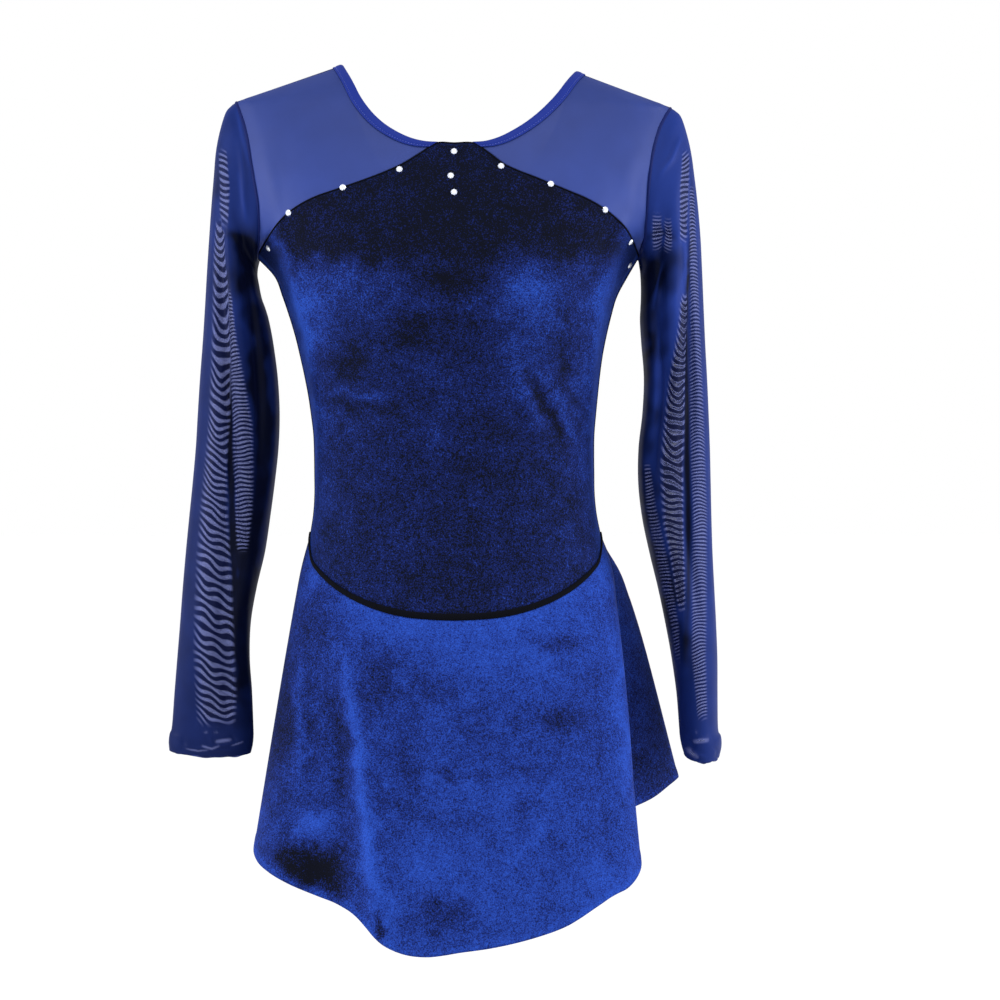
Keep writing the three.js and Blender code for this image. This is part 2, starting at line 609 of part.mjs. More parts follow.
const SLEEVES = {
  left: { sign: 1, table: SLEEVE_LEFT, creases: CREASES_LEFT },
  right: { sign: -1, table: SLEEVE_RIGHT, creases: CREASES_RIGHT },
};
for (const sleeve of Object.values(SLEEVES)) {
  sleeve.row = curves(sleeve.table, "at", ["out", "outZ", "in", "inZ", "deep", "lean"], true);
  sleeve.end = sleeve.table[sleeve.table.length - 1].at;
}
const CAP = 45; // over this distance the sleeve changes from the armhole's shape to its own
const ARMHOLE_GAP = { shoulder: 0.5, armpit: 2.9 }; // wider at the armpit, where the walls meet at an angle

// How far a crease draws the cloth in at a place on the sleeve.
function creaseDepth(creases, turn, at) {
  let depth = 0;
  for (const { from, to, turnFrom, turnTo, deep, spread: width } of creases) {
    const share = (at - from) / (to - from);
    if (share <= 0 || share >= 1) continue;
    const away = (turn - mix(turnFrom, turnTo, share)) / width;
    depth += deep * Math.sin(Math.PI * share) ** 0.6 * Math.exp(-away * away);
  }
  return depth;
}

// The sleeve's own ring, before its creases: turn runs round it from 0 at the outer edge over 90 at the front.
function sleeveOval(side, turn, at) {
  const { sign, row } = SLEEVES[side];
  const [c, s] = [Math.cos(radians(turn)), Math.sin(radians(turn))];
  const outer = new THREE.Vector3(sign * row.out(at), 0, row.outZ(at));
  const inner = new THREE.Vector3(sign * row.in(at), 0, row.inZ(at));
  const oval = inner.lerp(outer, (1 + c) / 2);
  return oval.add(new THREE.Vector3(0, -row.deep(at) * s, -row.lean(at) * s));
}

function armholePoint(side, turn) {
  const [c, s] = [Math.cos(radians(turn)), Math.sin(radians(turn))];
  const face = s >= 0 ? "front" : "back";
  const edge = LINES[side + face].armhole((1 - c) / 2);
  const { p } = sidePlace(side, face, edge.x, edge.y);
  return Math.abs(p.y) <= SEAM / 2 ? p.setY(0) : p;
}

// A point of a sleeve. Near the top its oval changes to the shape of the armhole.
function sleevePoint(side, turn, at) {
  const angle = ((turn % 360) + 360) % 360;
  const point = sleeveOval(side, angle, at);
  const inwards = sleeveOval(side, angle + 180, at).sub(point).normalize();
  point.addScaledVector(inwards, creaseDepth(SLEEVES[side].creases, angle, at));
  if (at >= CAP) return point;
  const share = 1 - THREE.MathUtils.smoothstep(at, 0, CAP);
  const start = sleeveOval(side, angle, 0);
  const away = sleeveOval(side, angle, SLEEVES[side].table[1].at).sub(start).normalize();
  const gap = mix(ARMHOLE_GAP.armpit, ARMHOLE_GAP.shoulder, (1 + Math.cos(radians(angle))) / 2);
  return point.addScaledVector(armholePoint(side, angle).sub(start).addScaledVector(away, gap), share);
}

function sleevePlace(side, turn, at) {
  const { row, sign } = SLEEVES[side];
  const middle = new THREE.Vector3(
    (sign * (row.out(at) + row.in(at))) / 2,
    0,
    (row.outZ(at) + row.inZ(at)) / 2,
  );
  const point = (a, b) => sleevePoint(side, a, b);
  const n = outward(point, turn, Math.max(at, 1.5), 2, 1, middle);
  return { p: sleevePoint(side, turn, at), n };
}

const AROUND = 28;
const turns = spread(0, 360, AROUND).slice(0, AROUND);

function sleeveRing(side, at, lift = 0) {
  return turns.map((turn) => {
    const { p, n } = sleevePlace(side, turn, at);
    return { p: p.addScaledVector(n, lift), n };
  });
}

const cuffRows = (side) => spread(SLEEVES[side].end - CUFF_HEM, SLEEVES[side].end, 3);

function sleeve(side) {
  const cuff = cuffRows(side);
  const ats = [0, 6, 14, 25, 37, 52, 70, 92, 118, 146, ...spread(176, cuff[0], 11), ...cuff.slice(1)];
  return wall(ats.map((at) => sleeveRing(side, at)), MESH, true);
}

// The hem is turned to the inside.
function cuffHem(side) {
  return wall(cuffRows(side).map((at) => sleeveRing(side, at, -MESH - LAYER)), MESH, true);
}

// ---------------------------------------------------------------------------------------------------------------
// The dress

const velvet = new THREE.MeshStandardMaterial({ name: "royal blue stretch velvet", color: 0x14246e, roughness: 0.9 });
const mesh = new THREE.MeshStandardMaterial({ name: "royal blue power mesh", color: 0x2b3c92, roughness: 0.7 });
const foldedMesh = new THREE.MeshStandardMaterial({ name: "folded power mesh", color: 0x1e2f86, roughness: 0.7 });
const rolledVelvet = new THREE.MeshStandardMaterial({ name: "rolled velvet seam", color: 0x05070f, roughness: 0.95 });

const dress = new THREE.Group();
dress.name = "figure skating dress";

function piece(name, geometry, material) {
  const made = new THREE.Mesh(geometry, material);
  made.name = name;
  dress.add(made);
}

for (const face of ["front", "back"]) {
  piece(`bodice_${face}`, bodice(face), velvet);
  piece(`skirt_${face}`, skirt(face), velvet);
  for (const side of ["left", "right"]) piece(`yoke_${face}_${side}`, yoke(side, face), mesh);
}
piece("hip_piping", hipPiping(), rolledVelvet);
for (const side of ["left", "right"]) {
  piece(`neck_binding_${side}`, neckBinding(side), foldedMesh);
  piece(`sleeve_${side}`, sleeve(side), mesh);
  piece(`cuff_hem_${side}`, cuffHem(side), foldedMesh);
}

export default dress;
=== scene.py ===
import math

import bmesh
import bpy
import numpy as np
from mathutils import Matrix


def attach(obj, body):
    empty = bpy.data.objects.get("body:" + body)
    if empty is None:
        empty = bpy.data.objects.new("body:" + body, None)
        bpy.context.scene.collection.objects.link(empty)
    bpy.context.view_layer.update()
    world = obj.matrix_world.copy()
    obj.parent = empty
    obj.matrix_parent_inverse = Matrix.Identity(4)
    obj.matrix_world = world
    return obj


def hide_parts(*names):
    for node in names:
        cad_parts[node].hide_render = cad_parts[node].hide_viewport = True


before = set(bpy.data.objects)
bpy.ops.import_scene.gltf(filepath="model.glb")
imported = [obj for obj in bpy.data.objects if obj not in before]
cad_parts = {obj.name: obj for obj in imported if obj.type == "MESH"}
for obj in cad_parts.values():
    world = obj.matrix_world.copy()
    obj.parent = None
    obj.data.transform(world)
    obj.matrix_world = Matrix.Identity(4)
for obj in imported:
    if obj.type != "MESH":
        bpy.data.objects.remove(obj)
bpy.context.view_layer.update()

# ------------------------------------------------------------------------------
# Bodice: two panels of four-way stretch velvet, knitted polyester backing with a short cut pile, joined
# at the side seams and drawn tight over the body. The pile lies in smudges, dark where it points at the
# eye and blue where it is brushed over, and a few soft strain folds run from the waist. Some of the
# smudges are painted light and shade: highlights along fold crests and edges, shade in fold troughs
# and over the chest top.

MM = 0.001
VELVET = 1.2 * MM  # backing and pile of the velvet that shows
VELVET_WALL = 1.6 * MM  # thickness of the velvet walls that the panels stand for


def linear(colour):
    """An sRGB hex colour as the linear RGBA that a shader takes."""
    parts = [int(colour[k : k + 2], 16) / 255 for k in (1, 3, 5)]
    return [c / 12.92 if c <= 0.04045 else ((c + 0.055) / 1.055) ** 2.4 for c in parts] + [1.0]


def cloth_rows(node, columns, wall, tube=False):
    """The outer face of a wall of cloth as rows of points, from its top edge down. Each row of a tube
    starts at the tube's highest point and goes round by the front."""
    welded = bmesh.new()
    welded.from_mesh(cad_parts[node].data)
    bmesh.ops.remove_doubles(welded, verts=welded.verts, dist=0.02 * MM)
    rim = [f for f in welded.faces if any(abs(e.calc_length() - wall) < 0.01 * MM for e in f.edges)]
    bmesh.ops.delete(welded, geom=rim, context="FACES")
    left, sides = set(welded.faces), []
    while left:
        side, edge = set(), {left.pop()}
        while edge:
            side |= edge
            edge = {g for f in edge for e in f.edges for g in e.link_faces} - side
        left -= side
        sides.append(side)
    outer = max(sides, key=lambda side: sum(f.calc_area() for f in side))
    thirds, used = {}, {}
    for f in outer:
        a, b, c = f.verts
        for p, q, r in ((a, b, c), (b, c, a), (c, a, b)):
            thirds.setdefault(frozenset((p, q)), []).append(r)
            used[p] = used.get(p, 0) + 1
    beside = {}
    for pair in (pair for pair, found in thirds.items() if len(found) == 1):
        for v in pair:
            beside.setdefault(v, []).extend(pair - {v})

    def walk(start, second, ends):
        path = [start, second]
        while path[-1] not in ends:
            path.append(next(v for v in beside[path[-1]] if v is not path[-2]))
        return path

    if tube:
        start = max(beside, key=lambda v: v.co.z)
        rows = [walk(start, min(beside[start], key=lambda v: v.co.y), {start})[:-1]]
        while len(rows) == 1 or beside.get(rows[-1][0]) is None:
            ring = rows[-1]
            past = set(rows[-2]) if len(rows) > 1 else set()
            found = [
                next(v for v in thirds[frozenset((ring[k], ring[(k + 1) % columns]))] if v not in past)
                for k in range(columns)
            ]
            shifted = found[-1:] + found[:-1]
            far = [sum((a.co - b.co).length for a, b in zip(ring, row)) for row in (found, shifted)]
            rows.append(found if far[0] <= far[1] else shifted)
    else:
        corners = {v for v in beside if used[v] <= 2}
        start = max((v for v in corners if used[v] == 2), key=lambda v: v.co.z)
        paths = [walk(start, second, corners - {start}) for second in beside[start]]
        paths.sort(key=lambda path: len(path) != columns)
        rows = [paths[0]]
        for first in paths[1][1:]:
            above, row = rows[-1], [first]
            for k in range(columns - 1):
                known = {above[k - 1]} if k else set()
                row.append(next(v for v in thirds[frozenset((above[k], row[k]))] if v not in known))
            rows.append(row)
    points = np.array([[v.co[:] for v in row] for row in rows])
    welded.free()
    return points


def between(points, steps, closed=False):
    """Puts steps - 1 points between each two along the first axis, on a smooth curve through them all."""
    if closed:
        padded = np.concatenate([points[-1:], points, points[:2]])
    else:
        padded = np.concatenate([[2 * points[0] - points[1]], points, [2 * points[-1] - points[-2]]])
    t = (np.arange(steps) / steps).reshape([-1] + [1] * (points.ndim - 1))
    spans = []
    for a, b, c, d in zip(padded, padded[1:], padded[2:], padded[3:]):
        spans.append(b + 0.5 * t * ((c - a) + t * ((2 * a - 5 * b + 4 * c - d) + t * (3 * (b - c) + d - a))))
    return np.concatenate(spans + ([] if closed else [points[-1:]]))


def finer(rows, down, across, tube=False):
    """A grid of cloth with more rows and columns."""
    columns = between(rows, down).swapaxes(0, 1)
    return between(columns, across, tube).swapaxes(0, 1)


def outward(rows, tube=False):
    """The outward normals of a grid of cloth."""
    along = np.gradient(rows, axis=0)
    across = np.roll(rows, -1, 1) - np.roll(rows, 1, 1) if tube else np.gradient(rows, axis=1)
    normals = np.cross(across, along)
    normals /= np.maximum(np.linalg.norm(normals, axis=2, keepdims=True), 1e-12)
    heart = rows.mean(axis=1, keepdims=True) if tube else np.array([0, 0, -0.3])
    return normals if np.sum(normals * (rows - heart)) > 0 else -normals


def creased(place, creases):
    """The sum of soft creases at each place, given as lines of places with a width in mm and a height.
    A crease is highest halfway along."""
    height = np.zeros(place.shape[:2])
    for line, width, top in creases:
        line = np.array(line, float)
        lengths = np.linalg.norm(np.diff(line, axis=0), axis=1)
        nearest, share = np.full(height.shape, 1e9), np.zeros(height.shape)
        for k, (a, b) in enumerate(zip(line, line[1:])):
            along = np.clip(((place - a) @ (b - a)) / lengths[k] ** 2, 0, 1)
            away = np.linalg.norm(place - a - along[..., None] * (b - a), axis=2)
            closer = away < nearest
            nearest = np.where(closer, away, nearest)
            share = np.where(closer, (lengths[:k].sum() + along * lengths[k]) / lengths.sum(), share)
        height += top * np.sin(math.pi * share) ** 0.8 * np.exp(-((nearest / width) ** 2))
    return height


def folded(rows, normals, place, folds):
    """Moves cloth along its normals by soft folds in mm. A height below nothing is a trough."""
    return rows + normals * (creased(place, folds) * MM)[..., None]


def tone_with_painted_light(place, rise, smudges):
    """How the pile is brushed at each place of a panel, from 0, dark, to 1, bright: a level that
    changes with the height, and smudges on it. Besides the lie of the pile, the level and the smudges
    hold painted light and painted shade. Their outlines are ragged, as the pile leans in
    tufts."""
    x, z = place[..., 0], place[..., 1]
    ragged = (
        x + 4 * np.sin(z / 11 + 1.3) + 2.5 * np.sin(z / 4.7 + x / 9) + 1.4 * np.sin(x / 2.9 - z / 3.7),
        z + 4 * np.sin(x / 12 + 0.6) + 2.5 * np.sin(x / 5.3 - z / 8) + 1.4 * np.sin(z / 3.1 + x / 4.1),
    )
    heights, levels = zip(*rise)
    pile = np.interp(-ragged[1], [-h for h in heights], levels)
    for middle, height, wide, long, tilt, by in smudges:
        x, z, tilt = ragged[0] - middle, ragged[1] - height, math.radians(tilt)
        along = (x * math.sin(tilt) + z * math.cos(tilt)) / long
        across = (x * math.cos(tilt) - z * math.sin(tilt)) / wide
        pile = pile + by * np.exp(-(along**2) - across**2)
    return pile


def shell(name, rows, thick, material, tube=False, marks={}, cloth_map=None):
    """A closed shell of cloth: its outer face is the grid, its inner face lies thick under it. The
    marks are values at each place of the grid that its material reads."""
    normals = outward(rows, tube)
    count, columns = rows.shape[:2]
    points = np.concatenate([rows.reshape(-1, 3), (rows - normals * thick).reshape(-1, 3)])
    i, j = np.meshgrid(np.arange(count - 1), np.arange(columns if tube else columns - 1), indexing="ij")
    i, j = i.ravel(), j.ravel()
    corners = [(i, j), (i + 1, j), (i + 1, j + 1), (i, j + 1)]
    spots = count * columns
    outer = np.stack([a * columns + b % columns for a, b in corners], 1)
    middle = (count // 2, columns // 3)
    a, b, d = (rows[middle[0] + p, (middle[1] + q) % columns] for p, q in ((0, 0), (1, 0), (0, 1)))
    turned = np.dot(np.cross(b - a, d - a), normals[middle]) < 0
    width = columns + 1 if tube else columns
    on_map = np.stack([a * width + b for a, b in corners], 1)
    if turned:
        outer, on_map = outer[:, ::-1], on_map[:, ::-1]
    quads, map_quads = [outer, outer[:, ::-1] + spots], [on_map, on_map[:, ::-1]]
    k = np.arange(columns if tube else columns - 1)
    edges = [(k, (k + 1) % columns, k, k + 1)]
    base, map_base = (count - 1) * columns, (count - 1) * width
    edges.append((base + (k + 1) % columns, base + k, map_base + k + 1, map_base + k))
    if not tube:
        k = np.arange(count - 1)
        edges.append(((k + 1) * columns, k * columns, (k + 1) * width, k * width))
        last = columns - 1
        edges.append((k * columns + last, (k + 1) * columns + last, k * width + last, (k + 1) * width + last))
    for a, b, map_a, map_b in edges:
        rim, map_rim = np.stack([a, b, b + spots, a + spots], 1), np.stack([map_a, map_b, map_b, map_a], 1)
        quads.append(rim[:, ::-1] if turned else rim)
        map_quads.append(map_rim[:, ::-1] if turned else map_rim)
    quads, map_quads = np.concatenate(quads), np.concatenate(map_quads)
    mesh = bpy.data.meshes.new(name)
    mesh.from_pydata(points.tolist(), [], quads.tolist())
    if cloth_map is None:
        cloth_map = lengths_along(rows, tube)
    spread = cloth_map.reshape(-1, 2)[map_quads.ravel()].ravel()
    mesh.uv_layers.new(name="cloth").data.foreach_set("uv", spread)
    for mark, values in marks.items():
        mesh.attributes.new(mark, "FLOAT", "POINT").data.foreach_set("value", np.tile(values.ravel(), 2))
    return piece(name, mesh, material)


def lengths_along(rows, tube=False):
    """The distances across and down the cloth, in metres, at each place of a grid."""
    wrapped = np.concatenate([rows, rows[:, :1]], 1) if tube else rows
    maps = []
    for axis in (1, 0):
        steps = np.linalg.norm(np.diff(wrapped, axis=axis), axis=2)
        maps.append(np.insert(np.cumsum(steps, axis=axis), 0, 0, axis=axis))
    return np.stack(maps, 2)


def piece(name, mesh, material, smooth=True):
    """Makes a mesh a piece of the dress."""
    mesh.polygons.foreach_set("use_smooth", [smooth] * len(mesh.polygons))
    mesh.materials.append(material)
    made = bpy.data.objects.new(name, mesh)
    bpy.context.collection.objects.link(made)
    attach(made, "root")
    return made


def add(tree, kind, settings, inputs):
    """Adds a shader node with its settings, values and links."""
    made = tree.nodes.new("ShaderNode" + kind)
    for name, value in settings.items():
        setattr(made, name, value)
    for socket, value in inputs.items():
        if isinstance(value, bpy.types.NodeSocket):
            tree.links.new(value, made.inputs[socket])
        else:
            made.inputs[socket].default_value = value
    return made


def finish(name):
    """A new material, with the tree that it is built in."""
    material = bpy.data.materials.new(name)
    material.use_nodes = True
    material.node_tree.nodes.clear()
    return material, material.node_tree


def stretch_velvet(name, sheen, tint, dark="#03050F", middle="#11205E", bright="#2146A4"):
    """Cut polyester pile, 1 mm long. It has no gloss, shines back at a glancing angle, and its
    smudges, the crush of handling and the grain of the pile set how much blue shows. The smudges also
    carry painted highlights and painted shade."""
    material, tree = finish(name)
    place = add(tree, "TexCoord", {}, {}).outputs["Object"]
    # 60 mm drifts, 15 mm crush marks, 5 mm crumbs, 2.4 and 1.1 mm tufts: ten real ones, so that they show.
    # The pile mark holds painted light and painted shade as well as the lie of the pile.
    level = add(tree, "Attribute", {"attribute_name": "pile"}, {}).outputs["Fac"]
    for size, detail, strength in ((60, 2, 0.34), (15, 3, 0.34), (5, 2, 0.3), (2.4, 1, 0.4), (1.1, 0, 0.95)):
        noise = add(tree, "TexNoise", {}, {"Vector": place, "Scale": 1 / (size * MM), "Detail": detail})
        centred = add(tree, "Math", {"operation": "SUBTRACT"}, {0: noise.outputs["Fac"], 1: 0.5})
        added = {0: centred.outputs[0], 1: strength, 2: level}
        level = add(tree, "Math", {"operation": "MULTIPLY_ADD"}, added).outputs[0]
    colour = linear(dark)
    for low, high, shade in ((0.0, 0.5, middle), (0.4, 1.0, bright)):
        ranged = {"Value": level, "From Min": low, "From Max": high}
        step = add(tree, "MapRange", {}, ranged)
        mixed = {0: step.outputs[0], 6: colour, 7: linear(shade)}
        colour = add(tree, "Mix", {"data_type": "RGBA"}, mixed).outputs[2]
    tufts = add(tree, "TexNoise", {}, {"Vector": place, "Scale": 1 / (1.5 * MM), "Detail": 1.0})
    bump = add(tree, "Bump", {}, {"Height": tufts.outputs["Fac"], "Strength": 0.6, "Distance": 0.35 * MM})
    look = {
        "Base Color": colour,
        "Roughness": 0.95,
        "Specular IOR Level": 0.1,
        "Sheen Weight": sheen,
        "Sheen Roughness": 0.42,
        "Sheen Tint": linear(tint),
        "Normal": bump.outputs[0],
    }
    surface = add(tree, "BsdfPrincipled", {}, look)
    add(tree, "OutputMaterial", {}, {"Surface": surface.outputs[0]})
    return material


def unit(vectors):
    return vectors / np.maximum(np.linalg.norm(vectors, axis=-1, keepdims=True), 1e-12)


def oval(wide, high, sides=10):
    """An oval outline, in mm."""
    turn = np.arange(sides) * 2 * math.pi / sides
    return np.stack([np.cos(turn) * wide / 2, np.sin(turn) * high / 2], 1)[None]


def strip(name, path, across, up, outline, material, closed=False):
    """A narrow piece of cloth along a path: the outline, in mm across and up, at each point of the path."""
    rings = path[:, None] + (across[:, None] * outline[..., :1] + up[:, None] * outline[..., 1:]) * MM
    count, sides = rings.shape[:2]
    turns, quads = [(s, (s + 1) % sides) for s in range(sides)], []
    for k in range(count if closed else count - 1):
        here, there = k * sides, (k + 1) % count * sides
        quads += [[here + s, here + t, there + t, there + s] for s, t in turns]
    if not closed:
        quads += [list(range(sides))[::-1], [(count - 1) * sides + s for s in range(sides)]]
    mesh = bpy.data.meshes.new(name)
    mesh.from_pydata(rings.reshape(-1, 3).tolist(), [], quads)
    shaped = bmesh.new()
    shaped.from_mesh(mesh)
    bmesh.ops.recalc_face_normals(shaped, faces=shaped.faces)
    shaped.to_mesh(mesh)
    shaped.free()
    return piece(name, mesh, material)


def seam(name, path, up, wide, high, material, closed=False):
    """A narrow roll of cloth, in mm wide and high, where two edges are sewn together along a path."""
    along = np.roll(path, -1, 0) - np.roll(path, 1, 0) if closed else np.gradient(path, axis=0)
    across = unit(np.cross(along, up))
    return strip(name, path, across, up, oval(wide, high), material, closed)


def side_seams(part, front, back, wide, high):
    """The seams of rolled velvet, in mm wide and high, that join a front and a back panel at both sides."""
    made = []
    for side, column, out in (("left", 0, 1.0), ("right", -1, -1.0)):
        path = (front[:, column] + back[:, column]) / 2
        up = np.tile([out, 0, 0], (len(path), 1))
        # Painted near black as the shade of the seam groove.
        made.append(seam(f"{part}_side_seam_{side}", path, up, wide, high, seam_velvet_in_painted_shade))
    return made


bodice_velvet = stretch_velvet("bodice stretch velvet", 0.4, "#2E57CC")
# The seam velvet is painted near black: painted shade in the grooves along the seams.
seam_velvet_in_painted_shade = stretch_velvet("rolled velvet seam", 0.05, "#1A2A70", "#010208", "#03040E", "#060A24")

# Places are in mm from the middle of the dress and up. A row of smudges gives its place, x and z, its half
# width, its half length, its tilt in degrees, and by how much its pile is brighter. Besides the crush of
# the pile, the smudges are painted highlights along fold crests and edges and painted shade in fold
# troughs, and the rise darkens the chest top, partly the lie of its pile and partly painted shade.
BODICE_RISE = [(-60, -0.04), (-168, 0.0), (-184, 0.27), (-215, 0.38), (-270, 0.3), (-340, 0.23), (-480, 0.15)]
FRONT_PILE_AND_PAINTED_LIGHT = [
    (-153, -158, 7, 26, -17, 0.46), (148, -150, 5, 18, 12, 0.3), (-120, -175, 11, 5, 0, 0.2),
    (0, -192, 40, 12, 0, -0.3), (105, -172, 34, 6, 0, 0.12), (-122, -205, 18, 26, 0, 0.3),
    (-131, -255, 9, 75, -6, 0.3), (-86, -188, 16, 7, 0, 0.2), (-88, -260, 15, 24, 10, -0.3),
    (-41, -238, 19, 18, 20, -0.3), (-62, -300, 30, 30, 20, -0.12), (0, -225, 30, 45, 0, -0.2),
    (-85, -289, 26, 3.5, -3, 0.26), (-85, -297, 26, 5, -3, -0.14), (66, -200, 28, 22, 0, 0.26),
    (128, -225, 8, 60, 8, 0.22), (95, -218, 5, 7, 0, -0.34), (80, -301, 5, 34, -28, -0.36),
    (98, -268, 4.5, 30, -16, -0.26), (93, -303, 4, 26, -22, 0.2), (58, -284, 9, 34, -14, 0.18),
    (-17, -330, 4, 20, 0, 0.16), (22, -330, 24, 50, 0, -0.1), (-115, -360, 10, 50, 0, 0.12),
    (112, -340, 12, 60, 0, 0.1), (-70, -440, 34, 20, 0, 0.08),
]
BACK_PILE_AND_PAINTED_LIGHT = [
    (-120, -210, 14, 50, -6, 0.3), (-80, -225, 26, 26, 15, 0.22), (80, -240, 24, 44, -12, 0.28),
    (0, -205, 34, 16, 0, -0.26), (4, -320, 26, 30, 12, -0.28), (-30, -285, 14, 12, 0, -0.2),
    (56, -330, 30, 4, 8, 0.2), (-62, -346, 26, 4, -10, 0.22), (45, -400, 30, 20, 30, 0.18),
    (-60, -390, 24, 26, -20, -0.18),
]
FRONT_FOLDS = [
    ([(58, -262), (74, -292), (96, -338)], 6, -1.8),
    ([(50, -258), (62, -292), (78, -340)], 8, 1.5),
    ([(88, -232), (96, -262), (108, -304)], 6, -1.4),
    ([(112, -262), (106, -300), (110, -350)], 8, -0.9),
    ([(-112, -286), (-84, -288), (-58, -294)], 7, 1.2),
    ([(-108, -296), (-80, -300), (-50, -303)], 6, -0.9),
    ([(-96, -230), (-90, -262), (-100, -292)], 9, -1.3),
    ([(-70, -352), (-40, -362), (0, -366)], 9, -0.8),
    ([(20, -352), (50, -366), (86, -366)], 8, -0.7),
]
BACK_FOLDS = [
    ([(-100, -300), (-60, -318), (-15, -322)], 9, -2.2),
    ([(96, -292), (62, -312), (20, -320)], 8, -1.9),
    ([(-92, -330), (-50, -344), (-8, -345)], 8, 1.6),
    ([(88, -338), (50, -350), (12, -352)], 9, -1.4),
    ([(-110, -215), (-80, -235), (-55, -262)], 8, -1.5),
    ([(104, -208), (82, -236), (64, -270)], 8, -1.6),
]

panels = {}
for face, smudges, folds in (("front", FRONT_PILE_AND_PAINTED_LIGHT, FRONT_FOLDS), ("back", BACK_PILE_AND_PAINTED_LIGHT, BACK_FOLDS)):
    rows = finer(cloth_rows(f"bodice_{face}", 25, VELVET_WALL), 8, 6)
    place = rows[..., ::2] / MM
    normals = outward(rows)
    rows = folded(rows, normals, place, folds)
    panels[face] = rows
    pile = {"pile": tone_with_painted_light(place, BODICE_RISE, smudges)}
    made = shell(f"bodice_{face}_velvet", rows, VELVET, bodice_velvet, marks=pile)
    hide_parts(f"bodice_{face}")
    # The edge seam's near-black velvet is painted shade along the top edge.
    sewn = [seam(f"bodice_{face}_edge_seam", rows[0], normals[0], 1.5, 1.3, seam_velvet_in_painted_shade)]
    if face == "back":
        sewn += side_seams("bodice", panels["front"], rows, 1.6, 1.2)

# ------------------------------------------------------------------------------
# Hip seam: the skirt's top edge rolled over the bodice's and stitched down, a narrow roll of velvet
# all round, painted near black as the shade of the groove between bodice and skirt.

PROUD = 0.9  # mm from the velvet out to the middle of the roll

ring = np.concatenate([panels["front"][-1, :-1], panels["back"][-1, ::-1][:-1]])
front_up, back_up = outward(panels["front"])[-1, :-1], outward(panels["back"])[-1, ::-1][:-1]
up = np.concatenate([front_up, back_up])
across = unit(np.array([0, 0, 1.0]) - up * up[:, 2:])
middle = np.clip(np.abs(ring[:, 1]) / 0.1, 0, 1)[:, None, None]
outline = oval(1, 1.7) * np.concatenate([2.6 + 3.4 * middle, np.ones_like(middle)], 2)
ring = ring + up * PROUD * MM
roll = strip("hip_piping_roll", ring, across, up, outline, seam_velvet_in_painted_shade, True)
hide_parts("hip_piping")

# ------------------------------------------------------------------------------
# Skirt: a front and a back panel of the same velvet, cut flared and sewn to the bodice's dipped seam.
# The front panel hangs in soft flutes to a rounded point, and the back one stands out behind it on the
# wearer's left.

skirt_velvet = stretch_velvet("skirt stretch velvet", 0.08, "#2E57CC", "#030511", "#122468", "#2144A2")

# The skirt's level and smudges are partly the lie of its pile and partly painted light: painted shade on the
# dark left edge, in the hollow low on the front and on the back panel's flare, and painted highlights along
# some folds.
SKIRT_RISE = [(-400, 0.4), (-490, 0.52), (-560, 0.5), (-640, 0.5), (-760, 0.58)]
SKIRT_PILE_AND_PAINTED_LIGHT = {
    "front": [
        (-156, -560, 17, 85, 6, -0.3), (-124, -570, 34, 95, 0, -0.2), (-131, -565, 3, 44, -4, 0.2),
        (-112, -470, 14, 30, 10, -0.22), (-93, -530, 6, 26, -22, 0.12), (-79, -600, 7, 52, -8, 0.17),
        (-66, -690, 8, 44, -12, 0.2), (-95, -592, 8, 45, -6, -0.24), (-64, -525, 20, 28, -15, -0.22),
        (-60, -640, 9, 50, -10, -0.14), (-120, -654, 18, 12, 0, 0.3), (-138, -681, 20, 10, 62, -0.4),
        (-112, -692, 28, 17, 0, -0.6), (-98, -716, 16, 12, 0, -0.3), (-150, -706, 24, 5, 28, 0.3),
        (-64, -733, 3.5, 12, -8, -0.5), (-13, -731, 22, 17, -20, -0.32), (-20, -698, 14, 12, 0, 0.16),
        (83, -498, 16, 9, 0, -0.26), (-10, -540, 18, 13, 0, -0.2), (91, -563, 18, 11, 0, -0.2),
        (30, -515, 50, 18, 0, 0.12), (20, -610, 85, 3, 1, -0.14), (10, -619, 80, 3, 1, 0.1),
        (72, -651, 3, 40, 26, 0.18), (60, -640, 8, 34, 26, -0.12), (146, -590, 5, 120, -7, 0.16),
        (125, -700, 30, 24, 0, 0.14),
    ],
    "back": [
        (185, -600, 45, 90, 0, -0.3), (60, -520, 40, 40, 0, 0.15), (-80, -560, 30, 60, 10, -0.25),
        (10, -600, 20, 60, 0, -0.2), (100, -560, 14, 80, 0, -0.22), (-20, -620, 70, 3, -2, -0.14),
        (128, -590, 5, 60, -10, 0.2), (-124, -560, 6, 70, 8, 0.2),
    ],
}
SKIRT_FOLDS = {
    "front": [
        ([(-98, -490), (-80, -590), (-70, -680), (-58, -760)], 9, 4.2),
        ([(-100, -540), (-98, -620), (-92, -690)], 9, -2.4),
        ([(-134, -672), (-112, -694), (-92, -722)], 14, -4.0),
        ([(-134, -650), (-118, -652), (-104, -664)], 11, 2.6),
        ([(-134, -500), (-132, -570), (-134, -640)], 8, 2.2),
        ([(-62, -690), (-64, -735), (-60, -770)], 7, -2.2),
        ([(-30, -520), (-44, -600), (-36, -700)], 18, -1.8),
        ([(142, -470), (144, -540), (150, -620)], 9, 1.6),
        ([(118, -520), (128, -600), (130, -690)], 12, -1.5),
        ([(40, -600), (52, -680), (50, -750)], 20, 1.4),
    ],
    "back": [
        ([(60, -450), (70, -560), (78, -650)], 12, -2.4),
        ([(-60, -450), (-64, -560), (-70, -650)], 12, 2.2),
        ([(10, -480), (4, -580), (-2, -660)], 14, -2.4),
        ([(120, -470), (136, -560), (146, -640)], 11, 2.0),
        ([(-118, -470), (-128, -560), (-134, -640)], 10, -1.8),
    ],
}

